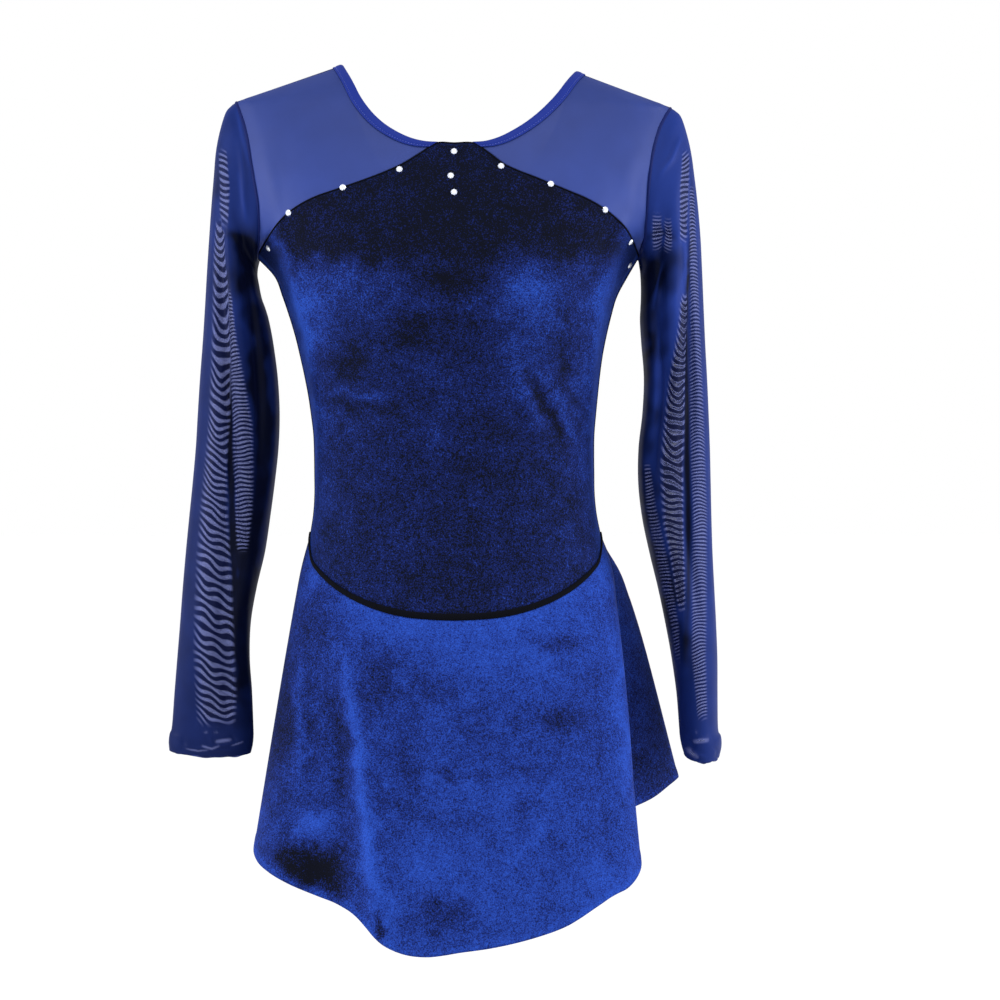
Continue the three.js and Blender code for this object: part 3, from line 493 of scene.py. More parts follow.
# Painted highlight along the crest of a fold and painted shade in its trough, in a line half as wide as
# the fold.
FOLD_SHINE = {
    face: [(line, width / 2, top / 20) for line, width, top in folds] for face, folds in SKIRT_FOLDS.items()
}
SEAM_LIGHT = 20  # mm below the hip seam over which a band of painted light brightens the pile, where the cloth is drawn smooth
HEM = 7  # mm of the hem, turned under and double

skirts = {}
for face in ("front", "back"):
    rows = finer(cloth_rows(f"skirt_{face}", 49, VELVET_WALL), 12, 4)
    place = rows[..., ::2] / MM
    below = lengths_along(rows)[..., 1] / MM
    above = below[-1] - below
    normals = outward(rows)
    rows = folded(rows, normals, place, SKIRT_FOLDS[face])
    rows = rows + normals * (0.5 * MM / (1 + np.exp((above - HEM) / 0.7)))[..., None]
    skirts[face] = rows
    pile = tone_with_painted_light(place, SKIRT_RISE, SKIRT_PILE_AND_PAINTED_LIGHT[face]) + creased(place, FOLD_SHINE[face])
    # A painted light band just under the hip seam, and a painted highlight along the hem's turned edge.
    pile = pile + 0.2 * np.exp(-((below / SEAM_LIGHT) ** 2)) + 0.14 * np.exp(-(((above - 3) / 3) ** 2))
    made = shell(f"skirt_{face}_velvet", rows, VELVET, skirt_velvet, marks={"pile": pile})
    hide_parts(f"skirt_{face}")
    sewn = [roll] if face == "front" else side_seams("skirt", skirts["front"], rows[:, ::-1], 1.4, 0.8)

# ------------------------------------------------------------------------------
# Yokes: four quarters of nylon power mesh, joined at the shoulder seams. One layer of it is a blue veil,
# and the courses of its knit are far finer than the eye sees at arm's length.

MESH_WALL = 1.0 * MM  # thickness of the mesh walls that the pieces stand for
NET = 0.45 * MM  # thickness of the mesh that shows
COURSE = 1.3  # mm from one course of the knit to the next, as drawn
SHEER = 0.22  # how much light one stretched layer lets through
BEAT_PAINTED_LIGHT = {"dark": "#090D28", "light": "#7C85C0"}  # navy between the beat lines, and pale painted light on them


def power_mesh(name, colour, deep, gloss=0.5, shine=0.05):
    """Knitted nylon net, a soft blue satin in one layer and deep navy where several lie together; the
    layers mark also holds painted shade and painted highlights. Its real courses are 0.3 mm apart: here
    they are 1.3 mm apart, so that they show. Where the knit is stretched open, light comes through, and
    the courses of the two layers of a tube beat there in pale lines on navy: the pale lines are painted
    light in the colour, on top of the light let through."""
    material, tree = finish(name)
    place = add(tree, "TexCoord", {}, {}).outputs["Object"]
    opened, lined, count, layers = (
        add(tree, "Attribute", {"attribute_name": mark}, {}).outputs["Fac"]
        for mark in ("open", "lines", "beats", "layers")
    )
    turn = add(tree, "Math", {"operation": "MULTIPLY"}, {0: count, 1: 2 * math.pi})
    wave = add(tree, "Math", {"operation": "SINE"}, {0: turn.outputs[0]})
    lit = {"Value": wave.outputs[0], "From Min": -0.3, "From Max": 0.85}
    lit = add(tree, "MapRange", {"interpolation_type": "SMOOTHSTEP"}, lit).outputs[0]
    veil = add(tree, "Mix", {}, {0: lined, 2: SHEER, 3: lit})
    through = add(tree, "Math", {"operation": "MULTIPLY"}, {0: veil.outputs[0], 1: opened})
    solid = add(tree, "Math", {"operation": "SUBTRACT"}, {0: 1.0, 1: through.outputs[0]})
    cloth = add(tree, "UVMap", {"uv_map": "cloth"}, {})
    apart = add(tree, "SeparateXYZ", {}, {0: cloth.outputs[0]})
    courses = []
    for axis in (0, 1):
        course = {0: apart.outputs[axis], 1: 2 * math.pi / (COURSE * MM)}
        course = add(tree, "Math", {"operation": "MULTIPLY"}, course)
        courses.append(add(tree, "Math", {"operation": "SINE"}, {0: course.outputs[0]}).outputs[0])
    knit = add(tree, "Math", {"operation": "ADD"}, dict(enumerate(courses))).outputs[0]
    cloud = add(tree, "TexNoise", {}, {"Vector": place, "Scale": 1 / (28 * MM), "Detail": 4.0})
    cloudy = add(tree, "Math", {"operation": "MULTIPLY_ADD"}, {0: cloud.outputs["Fac"], 1: 0.3, 2: -0.15})
    shade = add(tree, "Math", {"operation": "ADD"}, {0: layers, 1: cloudy.outputs[0]})
    shade = add(tree, "Math", {"operation": "MULTIPLY_ADD"}, {0: knit, 1: -0.025, 2: shade.outputs[0]})
    plain = {0: shade.outputs[0], 6: linear(colour), 7: linear(deep)}
    plain = add(tree, "Mix", {"data_type": "RGBA"}, plain).outputs[2]
    # Painted light: the beat lines are coloured pale where light comes through both layers.
    beats = {0: lit, 6: linear(BEAT_PAINTED_LIGHT["dark"]), 7: linear(BEAT_PAINTED_LIGHT["light"])}
    beats = add(tree, "Mix", {"data_type": "RGBA"}, beats).outputs[2]
    tinted = add(tree, "Mix", {"data_type": "RGBA"}, {0: lined, 6: plain, 7: beats})
    bump = add(tree, "Bump", {}, {"Height": knit, "Strength": 0.1, "Distance": 0.1 * MM})
    look = {
        "Base Color": tinted.outputs[2],
        "Roughness": gloss,
        "Specular IOR Level": shine,
        "Sheen Weight": 0.04,
        "Sheen Roughness": 0.4,
        "Sheen Tint": linear("#5A6EE0"),
        "Alpha": solid.outputs[0],
        "Normal": bump.outputs[0],
    }
    surface = add(tree, "BsdfPrincipled", {}, look)
    add(tree, "OutputMaterial", {}, {"Surface": surface.outputs[0]})
    return material


yoke_mesh = power_mesh("yoke power mesh", "#26397E", "#0A1030", 0.6, 0.22)
seam_mesh = power_mesh("sewn mesh seam", "#121C50", "#060A26")

# How far the knit is stretched, by height in mm.
YOKE_TIGHT = [(0, 0.45), (-60, 0.4), (-120, 0.1), (-170, 0.0)]
YOKE_FOLDS = {
    "left": [([(160, -70), (150, -100), (152, -135)], 8, 1.0), ([(168, -90), (160, -125)], 5, -0.8)],
    "right": [([(-166, -75), (-158, -105), (-160, -140)], 7, 0.9), ([(-150, -60), (-140, -95)], 10, -0.6)],
}
yokes = {}
for face in ("front", "back"):
    for side in ("left", "right"):
        rows = finer(cloth_rows(f"yoke_{face}_{side}", 12, MESH_WALL), 5, 6)
        place = rows[..., ::2] / MM
        tight = np.interp(-place[..., 1], [-z for z, _ in YOKE_TIGHT], [t for _, t in YOKE_TIGHT])
        rows = folded(rows, outward(rows), place, YOKE_FOLDS[side])
        yokes[face, side] = rows
        marks = {"open": tight * 0.9, "layers": tight * 0.5}
        made = shell(f"yoke_{face}_{side}_mesh", rows, NET, yoke_mesh, marks=marks)
        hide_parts(f"yoke_{face}_{side}")
        sewn = []
        if face == "back":
            up = unit(outward(rows)[0] + outward(yokes["front", side])[0])
            path = (rows[0] + yokes["front", side][0]) / 2
            sewn.append(seam(f"shoulder_seam_{side}", path, up, 3.0, 1.2, seam_mesh))

# ------------------------------------------------------------------------------
# Sleeves: long tubes of one layer of the same mesh, hanging empty and nearly flat, and sewn into the
# armholes with a narrow seam. Where the eye looks through front and back, the two layers of knit beat
# into arcs like wood grain.

sleeve_mesh = power_mesh("sleeve power mesh", "#1B2F74", "#030618", 0.5)

# Lines of folds, in mm from the middle of the dress and up, with a width and a depth.
SLEEVE_FOLDS = {
    "right": [
        ([(-203, -140), (-197, -280), (-190, -400)], 3.5, -2.4),
        ([(-190, -170), (-184, -300), (-178, -430)], 5, 2.2),
        ([(-187, -55), (-182, -98), (-180, -150)], 3, 1.4),
        ([(-216, -130), (-222, -300), (-232, -460)], 6, 1.6),
        ([(-196, -150), (-180, -165), (-170, -182)], 5, -2.6),
        ([(-194, -430), (-196, -500), (-200, -580)], 4, -1.8),
        ([(-176, -420), (-182, -470), (-180, -540)], 4, 1.6),
    ],
    "left": [
        ([(199, -60), (188, -84), (176, -99)], 2.5, 1.5),
        ([(164, -155), (180, -146), (198, -154)], 5, -2.8),
        ([(200, -152), (201, -200), (192, -270), (187, -340)], 3.5, 2.4),
        ([(206, -150), (206, -300), (204, -430)], 3.5, -2.2),
        ([(182, -176), (176, -216)], 2.5, 1.4),
        ([(176, -238), (180, -300)], 2.5, 1.2),
        ([(199, -430), (201, -490), (197, -570)], 3.5, 2.0),
        ([(222, -250), (226, -380), (228, -520)], 5, 1.4),
    ],
}
# How deep the blue is by height, and patches where more or fewer layers of cloth lie together. The
# patches also hold painted shade in the folds under the armpits and painted light strips along some folds.
SLEEVE_RISE = {
    "right": [(-30, 0.4), (-140, 0.42), (-190, 0.58), (-400, 0.62), (-600, 0.7)],
    "left": [(-30, 0.2), (-140, 0.18), (-190, 0.36), (-400, 0.36), (-600, 0.4)],
}
SLEEVE_LAYERS_AND_SHADE = {
    "right": [
        (-181, -176, 13, 22, 0, 0.6), (-172, -260, 9, 80, -6, 0.4), (-184, -470, 10, 85, 0, 0.6),
        (-212, -105, 7, 50, 12, 0.3), (-183, -225, 6, 50, -8, -0.2),
    ],
    "left": [
        (173, -182, 17, 24, 0, 0.8), (168, -245, 9, 50, 0, 0.6), (166, -340, 8, 60, 0, 0.4),
        (184, -452, 9, 80, -14, 0.6), (199, -195, 4, 45, 3, -0.4), (187, -250, 6, 60, 6, -0.25),
        (230, -400, 6, 160, -2, -0.1),
    ],
}
# Crisp edges of folds: deeper lines where the cloth lies double, partly painted shade, and lighter lines
# that are painted highlights along creases.
SLEEVE_EDGES_AND_HIGHLIGHTS = {
    "right": [
        ([
            (-198, -175), (-195.5, -202), (-196, -238), (-195.5, -290), (-195, -334), (-193, -396),
            (-191.5, -466), (-191, -530),
        ], 2.2, 0.6),
        ([(-201, -146), (-190, -149), (-180, -155), (-166, -166)], 4, 0.6),
        ([
            (-172, -180), (-172, -230), (-168, -290), (-165, -326), (-169, -378), (-179, -431),
            (-182, -466), (-183, -550),
        ], 6, 0.5),
        ([(-191, -32), (-185, -60), (-177, -92)], 1.6, -0.3),
        ([(-187, -92), (-183, -120), (-178, -142)], 2, -0.25),
    ],
    "left": [
        ([
            (206, -68), (208, -114), (206.5, -150), (203, -185), (201.5, -202), (201.5, -238),
            (202.4, -290), (202.4, -343), (204, -414), (203, -484), (201, -530),
        ], 2.4, 0.85),
        ([(197, -146), (201, -160), (200, -190), (196, -204)], 1.5, -0.4),
        ([(199, -60), (190, -82), (177, -98)], 1.6, -0.3),
        ([(164, -152), (180, -147), (196, -154)], 3, 0.5),
        ([(182, -170), (177, -190), (173, -214)], 1.6, -0.5),
        ([(181, -210), (178, -240), (176, -290), (171, -330)], 2.2, -0.4),
    ],
}
# Bands where light comes through: how open they are, the share of the half width over which the left and
# right edges fade, and points down the middle with the half width there, the spacing of the beat lines,
# and how far they bow up at the band's edges and slant up to the wearer's left.
BANDS = {
    "right": [
        (0.6, (0.4, 0.3), [
            (-202, -72, 4, 5.6, 0, -3), (-199, -107, 5, 5.6, 1, -3), (-200, -142, 4.5, 5.6, 0, -2),
        ]),
        (0.8, (0.5, 0.25), [
            (-203.5, -134, 4, 7, 4, -2), (-204, -167, 5.5, 8, 7, -2), (-202.5, -198, 7.5, 9.5, 9, -3),
            (-202.5, -262, 9, 10, 9, -4), (-204, -305, 9.5, 7, 7, -5), (-207, -348, 10.5, 5.4, 4, -7),
            (-209, -388, 12.5, 5.8, 2, -8), (-209.5, -429, 15.5, 7.6, 2, -9),
            (-209.5, -469, 17.5, 8.4, 2, -10), (-209.5, -509, 18.5, 8.2, 3, -10),
            (-208, -549, 18.5, 7, 5, -9), (-208, -576, 17, 6, 6, -7),
        ]),
        (0.85, (0.25, 0.4), [
            (-195, -196, 2, 3.2, 0, 0), (-192, -238, 4, 3.2, -1, 1), (-188, -277, 7, 3.4, -1, 1),
            (-183.8, -313, 9.5, 3.6, -1, 1.5), (-183, -348, 9.5, 3.8, -1, 1),
            (-183, -388, 7.5, 3.8, 0, 0.5), (-184.5, -424, 4.4, 3.4, 0, 0),
        ]),
    ],
    "left": [
        (0.8, (0.3, 0.3), [
            (202.5, -73, 3.4, 4.4, 0, 3), (200.3, -107, 4.4, 4.4, 0, 2), (199.2, -137, 3.6, 4.4, 1, 0),
            (199.5, -156, 3, 4.4, 1, -1),
        ]),
        (0.6, (0.3, 0.4), [
            (207, -104, 2.5, 3.1, -1, 0), (209.4, -197, 4.2, 3.1, -1.5, 0), (210.5, -257, 5.6, 3.1, -2, 0),
            (212, -320, 6.8, 3, -2.5, 0), (214.3, -390, 7, 3, -2, 0), (213.3, -473, 7, 3, -1.5, 1),
            (212.8, -514, 6.6, 3, -1, 2), (216, -570, 4.6, 3, -0.5, 2),
        ]),
        (0.7, (0.4, 0.4), [
            (175.5, -130, 4.5, 3, 1, 0.5), (176.5, -163, 4, 3, 1, 0.5),
        ]),
        (0.7, (0.4, 0.4), [
            (185, -134, 3.6, 3, 1, -1), (185.5, -165, 3.4, 3, 1, -1),
        ]),
        (0.95, (0.35, 0.2), [
            (199, -199, 2, 6.2, 3, -1), (197, -237, 4.6, 6.4, 5, -2), (193, -277, 7.6, 6.8, 6, -2),
            (191, -313, 9.6, 7.2, 7, -3), (189, -349, 10.6, 7.8, 4, -5), (189.5, -372, 10.2, 6.4, 1, -3),
            (190.5, -399, 9.3, 5, -1, -1), (194, -431, 6, 4.6, 0, 0.5), (195.8, -452, 4.4, 4.4, 0, 0.8),
            (198, -476, 2.6, 4.4, 0, 0.8),
        ]),
        (0.6, (0.5, 0.5), [
            (168.5, -345, 2.6, 3, 0, 0), (172, -385, 4.4, 3, 0, 1), (178, -414, 4.8, 3, 0, 1),
            (185.5, -452, 4.8, 3, 0, 1), (193, -490, 3.4, 3, 0, 1), (196, -520, 2.4, 3, 0, 1),
        ]),
    ],
}
# Rolls and puckers of the last 25 mm, which have the turned hem under them.
HEM_FOLDS = {
    "right": [
        ([(-246, -592), (-225, -596), (-200, -593), (-183, -588)], 1.8, 1.0),
        ([(-222, -601), (-208, -597), (-192, -599)], 1.5, 0.9),
        ([(-214, -584), (-210, -594)], 1.6, 0.8),
        ([(-196, -583), (-190, -592)], 1.6, -0.9),
        ([(-236, -584), (-238, -600)], 2.2, -0.8),
    ],
    "left": [
        ([(209, -588), (216, -586), (224, -585)], 1.8, 1.4),
        ([(206, -594), (212, -600), (220, -603)], 1.8, 1.3),
        ([(203, -584), (208, -592), (205, -600)], 2, -1.0),
        ([(224, -592), (230, -597), (228, -604)], 2, -0.9),
    ],
}
BRIGHT = 0.25  # the part of a beat where its painted light is brightest
# Gaps between the layers of the turned mesh, where light comes through; they are also painted the
# palest beat colour, a painted glint.
HEM_GAPS_AND_GLINTS = {
    "right": [
        ([(-222, -593), (-212, -596), (-204, -593)], 0.9, 0.5),
        ([(-210, -590), (-202, -589), (-194, -588)], 1.3, 0.6),
        ([(-236, -596), (-224, -598), (-214, -597)], 0.8, 0.4),
        ([(-196, -594), (-190, -592), (-184, -590)], 0.8, 0.45),
        ([(-219, -582), (-215, -581)], 1.0, 0.35),
        ([(-210, -582), (-206, -581)], 1.0, 0.3),
    ],
    "left": [
        ([(207, -589), (215, -587.5), (222, -587)], 1.6, 0.7),
        ([(202.5, -594), (206, -598), (213, -603)], 1.9, 0.65),
        ([(209, -580), (212, -581)], 1.0, 0.3),
    ],
}


def beaten(place, bands):
    """How strongly the beat lines show at each place, from 0 to 1, and the count of lines down to it.
    A band fades over its last 9 mm at both ends."""
    x, z = place[..., 0], place[..., 1]
    shown, count, nearest = np.zeros(x.shape), np.zeros(x.shape), np.full(x.shape, np.inf)
    for opening, soft, line in bands:
        middles, heights, halves, aparts, bows, slants = np.array(line, float).T
        counted = np.insert(np.cumsum(np.diff(-heights) * 2 / (aparts[1:] + aparts[:-1])), 0, 0)
        middle, half, apart, bow, slant, lines = (
            np.interp(-z, -heights, column) for column in (middles, halves, aparts, bows, slants, counted)
        )
        off = (x - middle) / half
        past = np.maximum(heights[-1] - z, z - heights[0])
        fade = np.clip((1 - np.abs(off)) / np.where(off < 0, *soft), 0, 1) * np.clip(-past / 9, 0, 1)
        away = (np.abs(off) - 1) * half + np.maximum(past, 0)
        off = np.clip(off, -1.2, 1.2)
        wobble = 0.16 * np.sin(x / 2.6 + z / 9) + 0.14 * np.sin(z / 6.5 - x / 5)
        count = np.where(away < nearest, lines + (bow * off**2 + slant * off) / apart + wobble, count)
        shown = np.where(away < nearest, fade * opening, shown)
        nearest = np.minimum(nearest, away)
    return shown, count


def stitches(name, path, up, pitch, long, thick, material, slot):
    """A row of thread stitches along a path, each a short spindle that lies in the cloth. Sizes are in
    mm."""
    run = np.insert(np.cumsum(np.linalg.norm(np.diff(path, axis=0), axis=1)), 0, 0) / MM
    points, polygons = [], []
    for middle in np.arange(pitch / 2, run[-1], pitch):
        start, end, out = (
            np.array([np.interp(middle + step, run, line[:, axis]) for axis in range(3)])
            for step, line in ((-long / 2, path), (long / 2, path), (0, up))
        )
        out = unit(out) * thick / 2 * MM
        side = unit(np.cross(end - start, out)) * thick / 2 * MM
        centre, first = (start + end) / 2, len(points)
        points += [spot.tolist() for spot in (start - out, end - out)]
        points += [(centre + step).tolist() for step in (side, out, -side, -out)]
        for k in range(4):
            a, b = first + 2 + k, first + 2 + (k + 1) % 4
            polygons += [[first, a, b], [first + 1, b, a]]
    mesh = bpy.data.meshes.new(name)
    mesh.from_pydata(points, [], polygons)
    return piece(name, mesh, material)


sleeves = {}
for side in ("left", "right"):
    rows = finer(cloth_rows(f"sleeve_{side}", 28, MESH_WALL, tube=True), 10, 5, tube=True)
    place = rows[..., ::2] / MM
    normals = outward(rows, True)
    # The folds of the front and those of the back fade out over the sleeve's sides.
    ahead = np.clip(-normals[..., 1:2] * 1.6, 0, 1)
    behind = np.clip(normals[..., 1:2] * 1.6, 0, 1)
    back_folds = [
        ([(x - 3, z + 22) for x, z in line], width, depth * 0.8) for line, width, depth in SLEEVE_FOLDS[side]
    ]
    front_moved = folded(rows, normals, place, SLEEVE_FOLDS[side]) - rows
    back_moved = folded(rows, normals, place, back_folds) - rows
    opened, count = beaten(place, BANDS[side])
    facing = np.clip(-normals[..., 1] * 3, 0, 1)
    gaps = np.clip(creased(place, HEM_GAPS_AND_GLINTS[side]), 0, 1)
    lined = np.maximum(opened * (0.6 + 0.4 * facing), gaps)
    opened = np.maximum(opened * (0.4 + 0.6 * facing), gaps)
    # The hem gaps are painted at the brightest of the beat: a painted glint on top of the see-through.
    count = np.where(gaps > 0.02, BRIGHT, count)
    # The layers mark is partly real layers of cloth, partly painted shade and painted highlights.
    layers = tone_with_painted_light(place, SLEEVE_RISE[side], SLEEVE_LAYERS_AND_SHADE[side]) + creased(place, SLEEVE_EDGES_AND_HIGHLIGHTS[side])
    rows = folded(rows + front_moved * ahead + back_moved * behind, normals, place, HEM_FOLDS[side])
    sleeves[side] = rows
    marks = {"open": opened, "lines": lined, "beats": count, "layers": np.clip(layers, 0, 1)}
    made = shell(f"sleeve_{side}_mesh", rows, NET, sleeve_mesh, True, marks=marks)
    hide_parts(f"sleeve_{side}")

    # The armhole seam lies across the gap between the sleeve's edge and the yokes and the velvet.
    edges = [yokes[face, side][:, -1] for face in panels] + [panels[face][0] for face in panels]
    edges = np.concatenate(edges)
    ring = rows[0]
    nearest = edges[np.argmin(np.linalg.norm(ring[:, None] - edges, axis=2), axis=1)]
    reach = np.minimum(np.linalg.norm(nearest - ring, axis=1), 3.2 * MM) / MM
    for _ in range(3):
        reach = (np.roll(reach, 1) + reach + np.roll(reach, -1)) / 3
    up = normals[0]
    across = unit(ring - rows[2] - up * np.sum((ring - rows[2]) * up, axis=1, keepdims=True))
    outline = oval(1, 1.8) * np.stack([reach + 2.2, np.ones_like(reach)], 1)[:, None]
    path = ring + across * (reach / 2 * MM)[:, None]
    armhole = strip(f"armhole_seam_{side}", path, across, up, outline, seam_mesh, True)

# ------------------------------------------------------------------------------
# Cuff hems: the last 25 mm of each sleeve, turned to the inside and stitched, so that the mesh is double
# there. The turned edge is rolled and puckers a little along its stitching.

folded_mesh = power_mesh("folded power mesh", "#182862", "#04071C", 0.36, 0.2)


def polyester_thread(name):
    """Spun polyester sewing thread, with a small bright glint on each stitch."""
    material, tree = finish(name)
    place = add(tree, "TexCoord", {}, {}).outputs["Object"]
    plies = add(tree, "TexNoise", {}, {"Vector": place, "Scale": 1 / (0.8 * MM)})
    mixed = {0: plies.outputs["Fac"], 6: linear("#2C3E96"), 7: linear("#6E80D8")}
    colour = add(tree, "Mix", {"data_type": "RGBA"}, mixed)
    look = {"Base Color": colour.outputs[2], "Roughness": 0.35, "Specular IOR Level": 0.5}
    surface = add(tree, "BsdfPrincipled", {}, look)
    add(tree, "OutputMaterial", {}, {"Surface": surface.outputs[0]})
    return material


thread = polyester_thread("polyester thread")
STITCHED = 5  # the row of the grid that the stitches follow
LIFT = 0.15  # mm by which they stand off the mesh

for side, depth, round_it in (("left", 0.35, 0.15), ("right", 0.75, 0.155)):
    rows = finer(cloth_rows(f"cuff_hem_{side}", 28, MESH_WALL, tube=True), 12, 5, tube=True)
    turn = np.radians(np.arange(rows.shape[1]) * 360 / rows.shape[1])
    down = np.linspace(0, 1, rows.shape[0])[:, None]
    normals = outward(rows, True)
    pucker = 0.5 * np.sin(turn * 5 + 0.4) + 0.35 * np.sin(turn * 11 + 2) + 0.25 * np.sin(turn * 18 + 0.7)
    place = rows[..., ::2] / MM
    gaps = np.clip(creased(place, HEM_GAPS_AND_GLINTS[side]), 0, 1)
    rows = folded(rows, normals, place, HEM_FOLDS[side])
    rows = rows + normals * (pucker[None] * down**1.5 * MM)[..., None]
    layers = np.clip(depth + 0.25 * pucker[None] * down, 0, 1)
    # The gaps are see-through and painted the palest beat colour, a painted glint.
    marks = {"open": gaps, "lines": gaps, "beats": np.full(gaps.shape, BRIGHT), "layers": layers}
    made = shell(f"cuff_hem_{side}_mesh", rows, NET, folded_mesh, True, marks=marks)
    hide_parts(f"cuff_hem_{side}")
    wave = 0.5 * np.sin(turn * 3 + 1) + 0.4 * np.sin(turn * 7 + 2.4) + 0.2 * np.sin(turn * 16)
    wavy = rows[-1] + np.array([0, 0, MM]) * wave[:, None]
    edge = seam(f"cuff_edge_{side}", wavy, normals[-1], 1.6, 2.6, folded_mesh, True)
    path, up = (np.concatenate([grid[STITCHED], grid[STITCHED][:1]]) for grid in (rows, normals))
    sewn = stitches(f"cuff_stitches_{side}", path + LIFT * MM * up, up, 3.2, 2.4, 0.5, thread, "folded_mesh")

# ------------------------------------------------------------------------------
# Neck bindings: a strip of the mesh folded over the raw neck edge and topstitched, from one velvet tab
# over the shoulder to the other. The four layers together look deep blue, with a small shine along the
# fold.

binding_mesh = power_mesh("neck binding mesh", "#1B2B78", "#080D2C")
# The folded strip's outline, in mm across from the yoke's edge and up from its face.
BINDING = [
    (7.5, 0.65), (7.7, 1.0), (7.3, 1.4), (6.2, 1.45), (5.6, 1.1), (5.0, 1.4), (3.4, 1.75), (1.2, 1.8),
    (-0.5, 1.4), (-1.5, 0.5), (-1.8, -0.5), (-1.5, -1.5), (-0.5, -2.4), (1.2, -2.7), (5.0, -2.6),
    (7.3, -2.4), (7.7, -2.0), (7.5, -1.65), (0.0, -1.65), (-0.6, -0.5), (0.0, 0.65),
]
TOPSTITCH = {"across": 5.6, "up": 1.25, "pitch": 2.6, "long": 2.1, "thick": 0.5}

for side in ("left", "right"):
    front, back = yokes["front", side], yokes["back", side]
    edge = np.concatenate([front[::-1, 0], back[1:, 0]])
    across = unit(np.concatenate([front[::-1, 3] - front[::-1, 0], back[1:, 3] - back[1:, 0]]))
    up = np.concatenate([outward(front)[::-1, 0], outward(back)[1:, 0]])
    outline = np.array(BINDING)[None]
    made = strip(f"neck_binding_{side}_mesh", edge, across, up, outline, binding_mesh)
    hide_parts(f"neck_binding_{side}")
    path = edge + (across * TOPSTITCH["across"] + up * TOPSTITCH["up"]) * MM
    sizes = (TOPSTITCH[size] for size in ("pitch", "long", "thick"))
    sewn = stitches(f"neck_binding_{side}_stitches", path, up, *sizes, thread, "folded_mesh")

# ------------------------------------------------------------------------------
# Crystals: flat-backed glass stones of 5.8 mm with a foil back, glued along the top of the velvet. A row
# of three runs down the middle, and the others follow the seam out to the armholes.

STONE = 5.8  # mm across
STONES = [(0.9, -80.9), (-1.7, -101), (-0.9, -118)]
STONES += [(-47.1, -95.3), (-94.3, -111), (-141.6, -130.7), (-161.6, -159.8)]
STONES += [(40.2, -91.9), (82.3, -108.5), (129.4, -128.4), (153.9, -154.5), (154.4, -172.3)]
FACETS = 8  # round a stone


def foil_backed_glass(name):
    """Cut lead-free glass over silver foil: it looks white, with hard small glints from its facets."""
    material, tree = finish(name)
    facing = add(tree, "TexNoise", {}, {"Scale": 1 / (1.5 * MM)})
    mixed = {0: facing.outputs["Fac"], 6: linear("#C9D6EE"), 7: linear("#FFFFFF")}
    colour = add(tree, "Mix", {"data_type": "RGBA"}, mixed)
    look = {
        "Base Color": colour.outputs[2],
        "Roughness": 0.06,
        "Metallic": 0.4,
        "IOR": 1.54,
        "Coat Weight": 1.0,
        "Coat Roughness": 0.02,
    }
    surface = add(tree, "BsdfPrincipled", {}, look)
    add(tree, "OutputMaterial", {}, {"Surface": surface.outputs[0]})
    return material


glass = foil_backed_glass("foil backed glass")
front = panels["front"]
normals = outward(front)
points, polygons = [], []
for x, z in STONES:
    away = np.hypot(front[..., 0] - x * MM, front[..., 2] - z * MM)
    spot = np.unravel_index(np.argmin(away), away.shape)
    middle, up = front[spot], normals[spot]
    across = unit(np.cross(up, [0, 0, 1.0]))
    along = np.cross(up, across)
    start = len(points)
    for radius, height, turned in ((1, 0.0, 0), (1, 0.3, 0), (0.7, 1.4, 0.5), (0.4, 1.8, 0)):
        for k in range(FACETS):
            turn = (k + turned) * 2 * math.pi / FACETS
            out = (across * math.cos(turn) + along * math.sin(turn)) * radius * STONE / 2
            points.append((middle + (out + up * height) * MM).tolist())
    for level in range(3):
        for k in range(FACETS):
            a, b = start + level * FACETS + k, start + level * FACETS + (k + 1) % FACETS
            if level == 2:
                polygons += [[a, b, b + FACETS], [a, b + FACETS, a + FACETS]]
            elif level == 1:
                last = start + (level + 1) * FACETS + (k - 1) % FACETS
                polygons += [[a, b, a + FACETS], [a, a + FACETS, last]]
            else:
                polygons.append([a, b, b + FACETS, a + FACETS])
    polygons += [[start + 3 * FACETS + k for k in range(FACETS)], [start + k for k in range(FACETS)][::-1]]
mesh = bpy.data.meshes.new("crystals")
mesh.from_pydata(points, [], polygons)
piece("crystals", mesh, glass, smooth=False)

# ------------------------------------------------------------------------------
# Studio: a white floor at the height of the wearer's feet, an even white surround, and soft boxes at
# both sides, above and in front.

FEET = -1.36  # m from the shoulders down to the floor

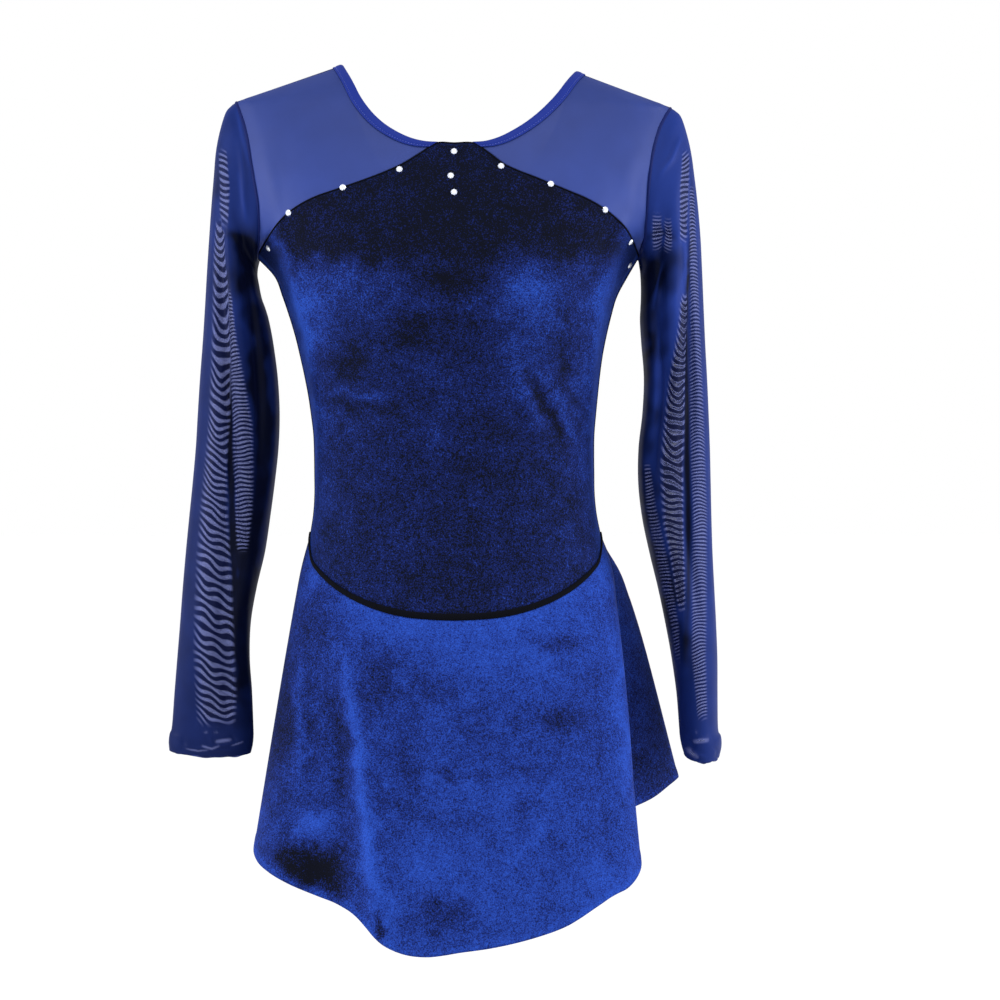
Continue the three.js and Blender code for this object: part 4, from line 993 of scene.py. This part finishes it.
material, tree = finish("white floor paint")
surface = add(tree, "BsdfPrincipled", {}, {"Base Color": linear("#FFFFFF"), "Roughness": 0.9})
add(tree, "OutputMaterial", {}, {"Surface": surface.outputs[0]})
shaped = bmesh.new()
bmesh.ops.create_circle(shaped, cap_ends=True, segments=96, radius=150)
mesh = bpy.data.meshes.new("floor")
shaped.to_mesh(mesh)
shaped.free()
mesh.materials.append(material)
floor = bpy.data.objects.new("floor", mesh)
floor.location = (0, 0, FEET)
bpy.context.collection.objects.link(floor)

scene = bpy.context.scene
scene.view_settings.view_transform = "Standard"
scene.world = bpy.data.worlds.new("studio")
scene.world.use_nodes = True
tree = scene.world.node_tree
tree.nodes.clear()
seen = add(tree, "LightPath", {}, {}).outputs["Is Camera Ray"]
backdrop = add(tree, "Background", {}, {"Color": (1, 1, 1, 1), "Strength": 1.0})
surround = add(tree, "Background", {}, {"Color": (1, 1, 1, 1), "Strength": 0.5})
both = add(tree, "MixShader", {}, {0: seen, 1: surround.outputs[0], 2: backdrop.outputs[0]})
add(tree, "OutputWorld", {}, {"Surface": both.outputs[0]})

# Each lamp has a name, a kind, a place, a width (an angle for the sun) and a power, and faces the hips.
LAMPS = [
    ("key", "SUN", (0.2, -1.8, 2.0), math.radians(50), 2.2),
    ("left box", "AREA", (-2.4, -0.4, 0.3), 1.2, 50),
    ("right box", "AREA", (2.4, -0.4, 0.3), 1.2, 50),
]
HIPS = -0.4
for name, kind, (x, y, z), wide, power in LAMPS:
    light = bpy.data.lights.new(name, kind)
    setattr(light, "angle" if kind == "SUN" else "size", wide)
    light.energy = power
    made = bpy.data.objects.new(name, light)
    made.location = (x, y, z)
    made.rotation_euler = (math.atan2(math.hypot(x, y), z - HIPS), 0, math.atan2(x, -y))
    bpy.context.collection.objects.link(made)

AWAY = 3.1  # m from the camera to the dress
FIELD = 0.88  # m that the camera sees from side to side there

lens = bpy.data.cameras.new("camera")
lens.sensor_width = 36
lens.lens = lens.sensor_width * AWAY / FIELD
lens.shift_x, lens.shift_y = 0.046, 0.0132
lens.clip_end = 1000
camera = bpy.data.objects.new("camera", lens)
camera.location = (0, -AWAY, -0.39)
camera.rotation_euler = (math.radians(90), 0, 0)
bpy.context.collection.objects.link(camera)
scene.camera = camera
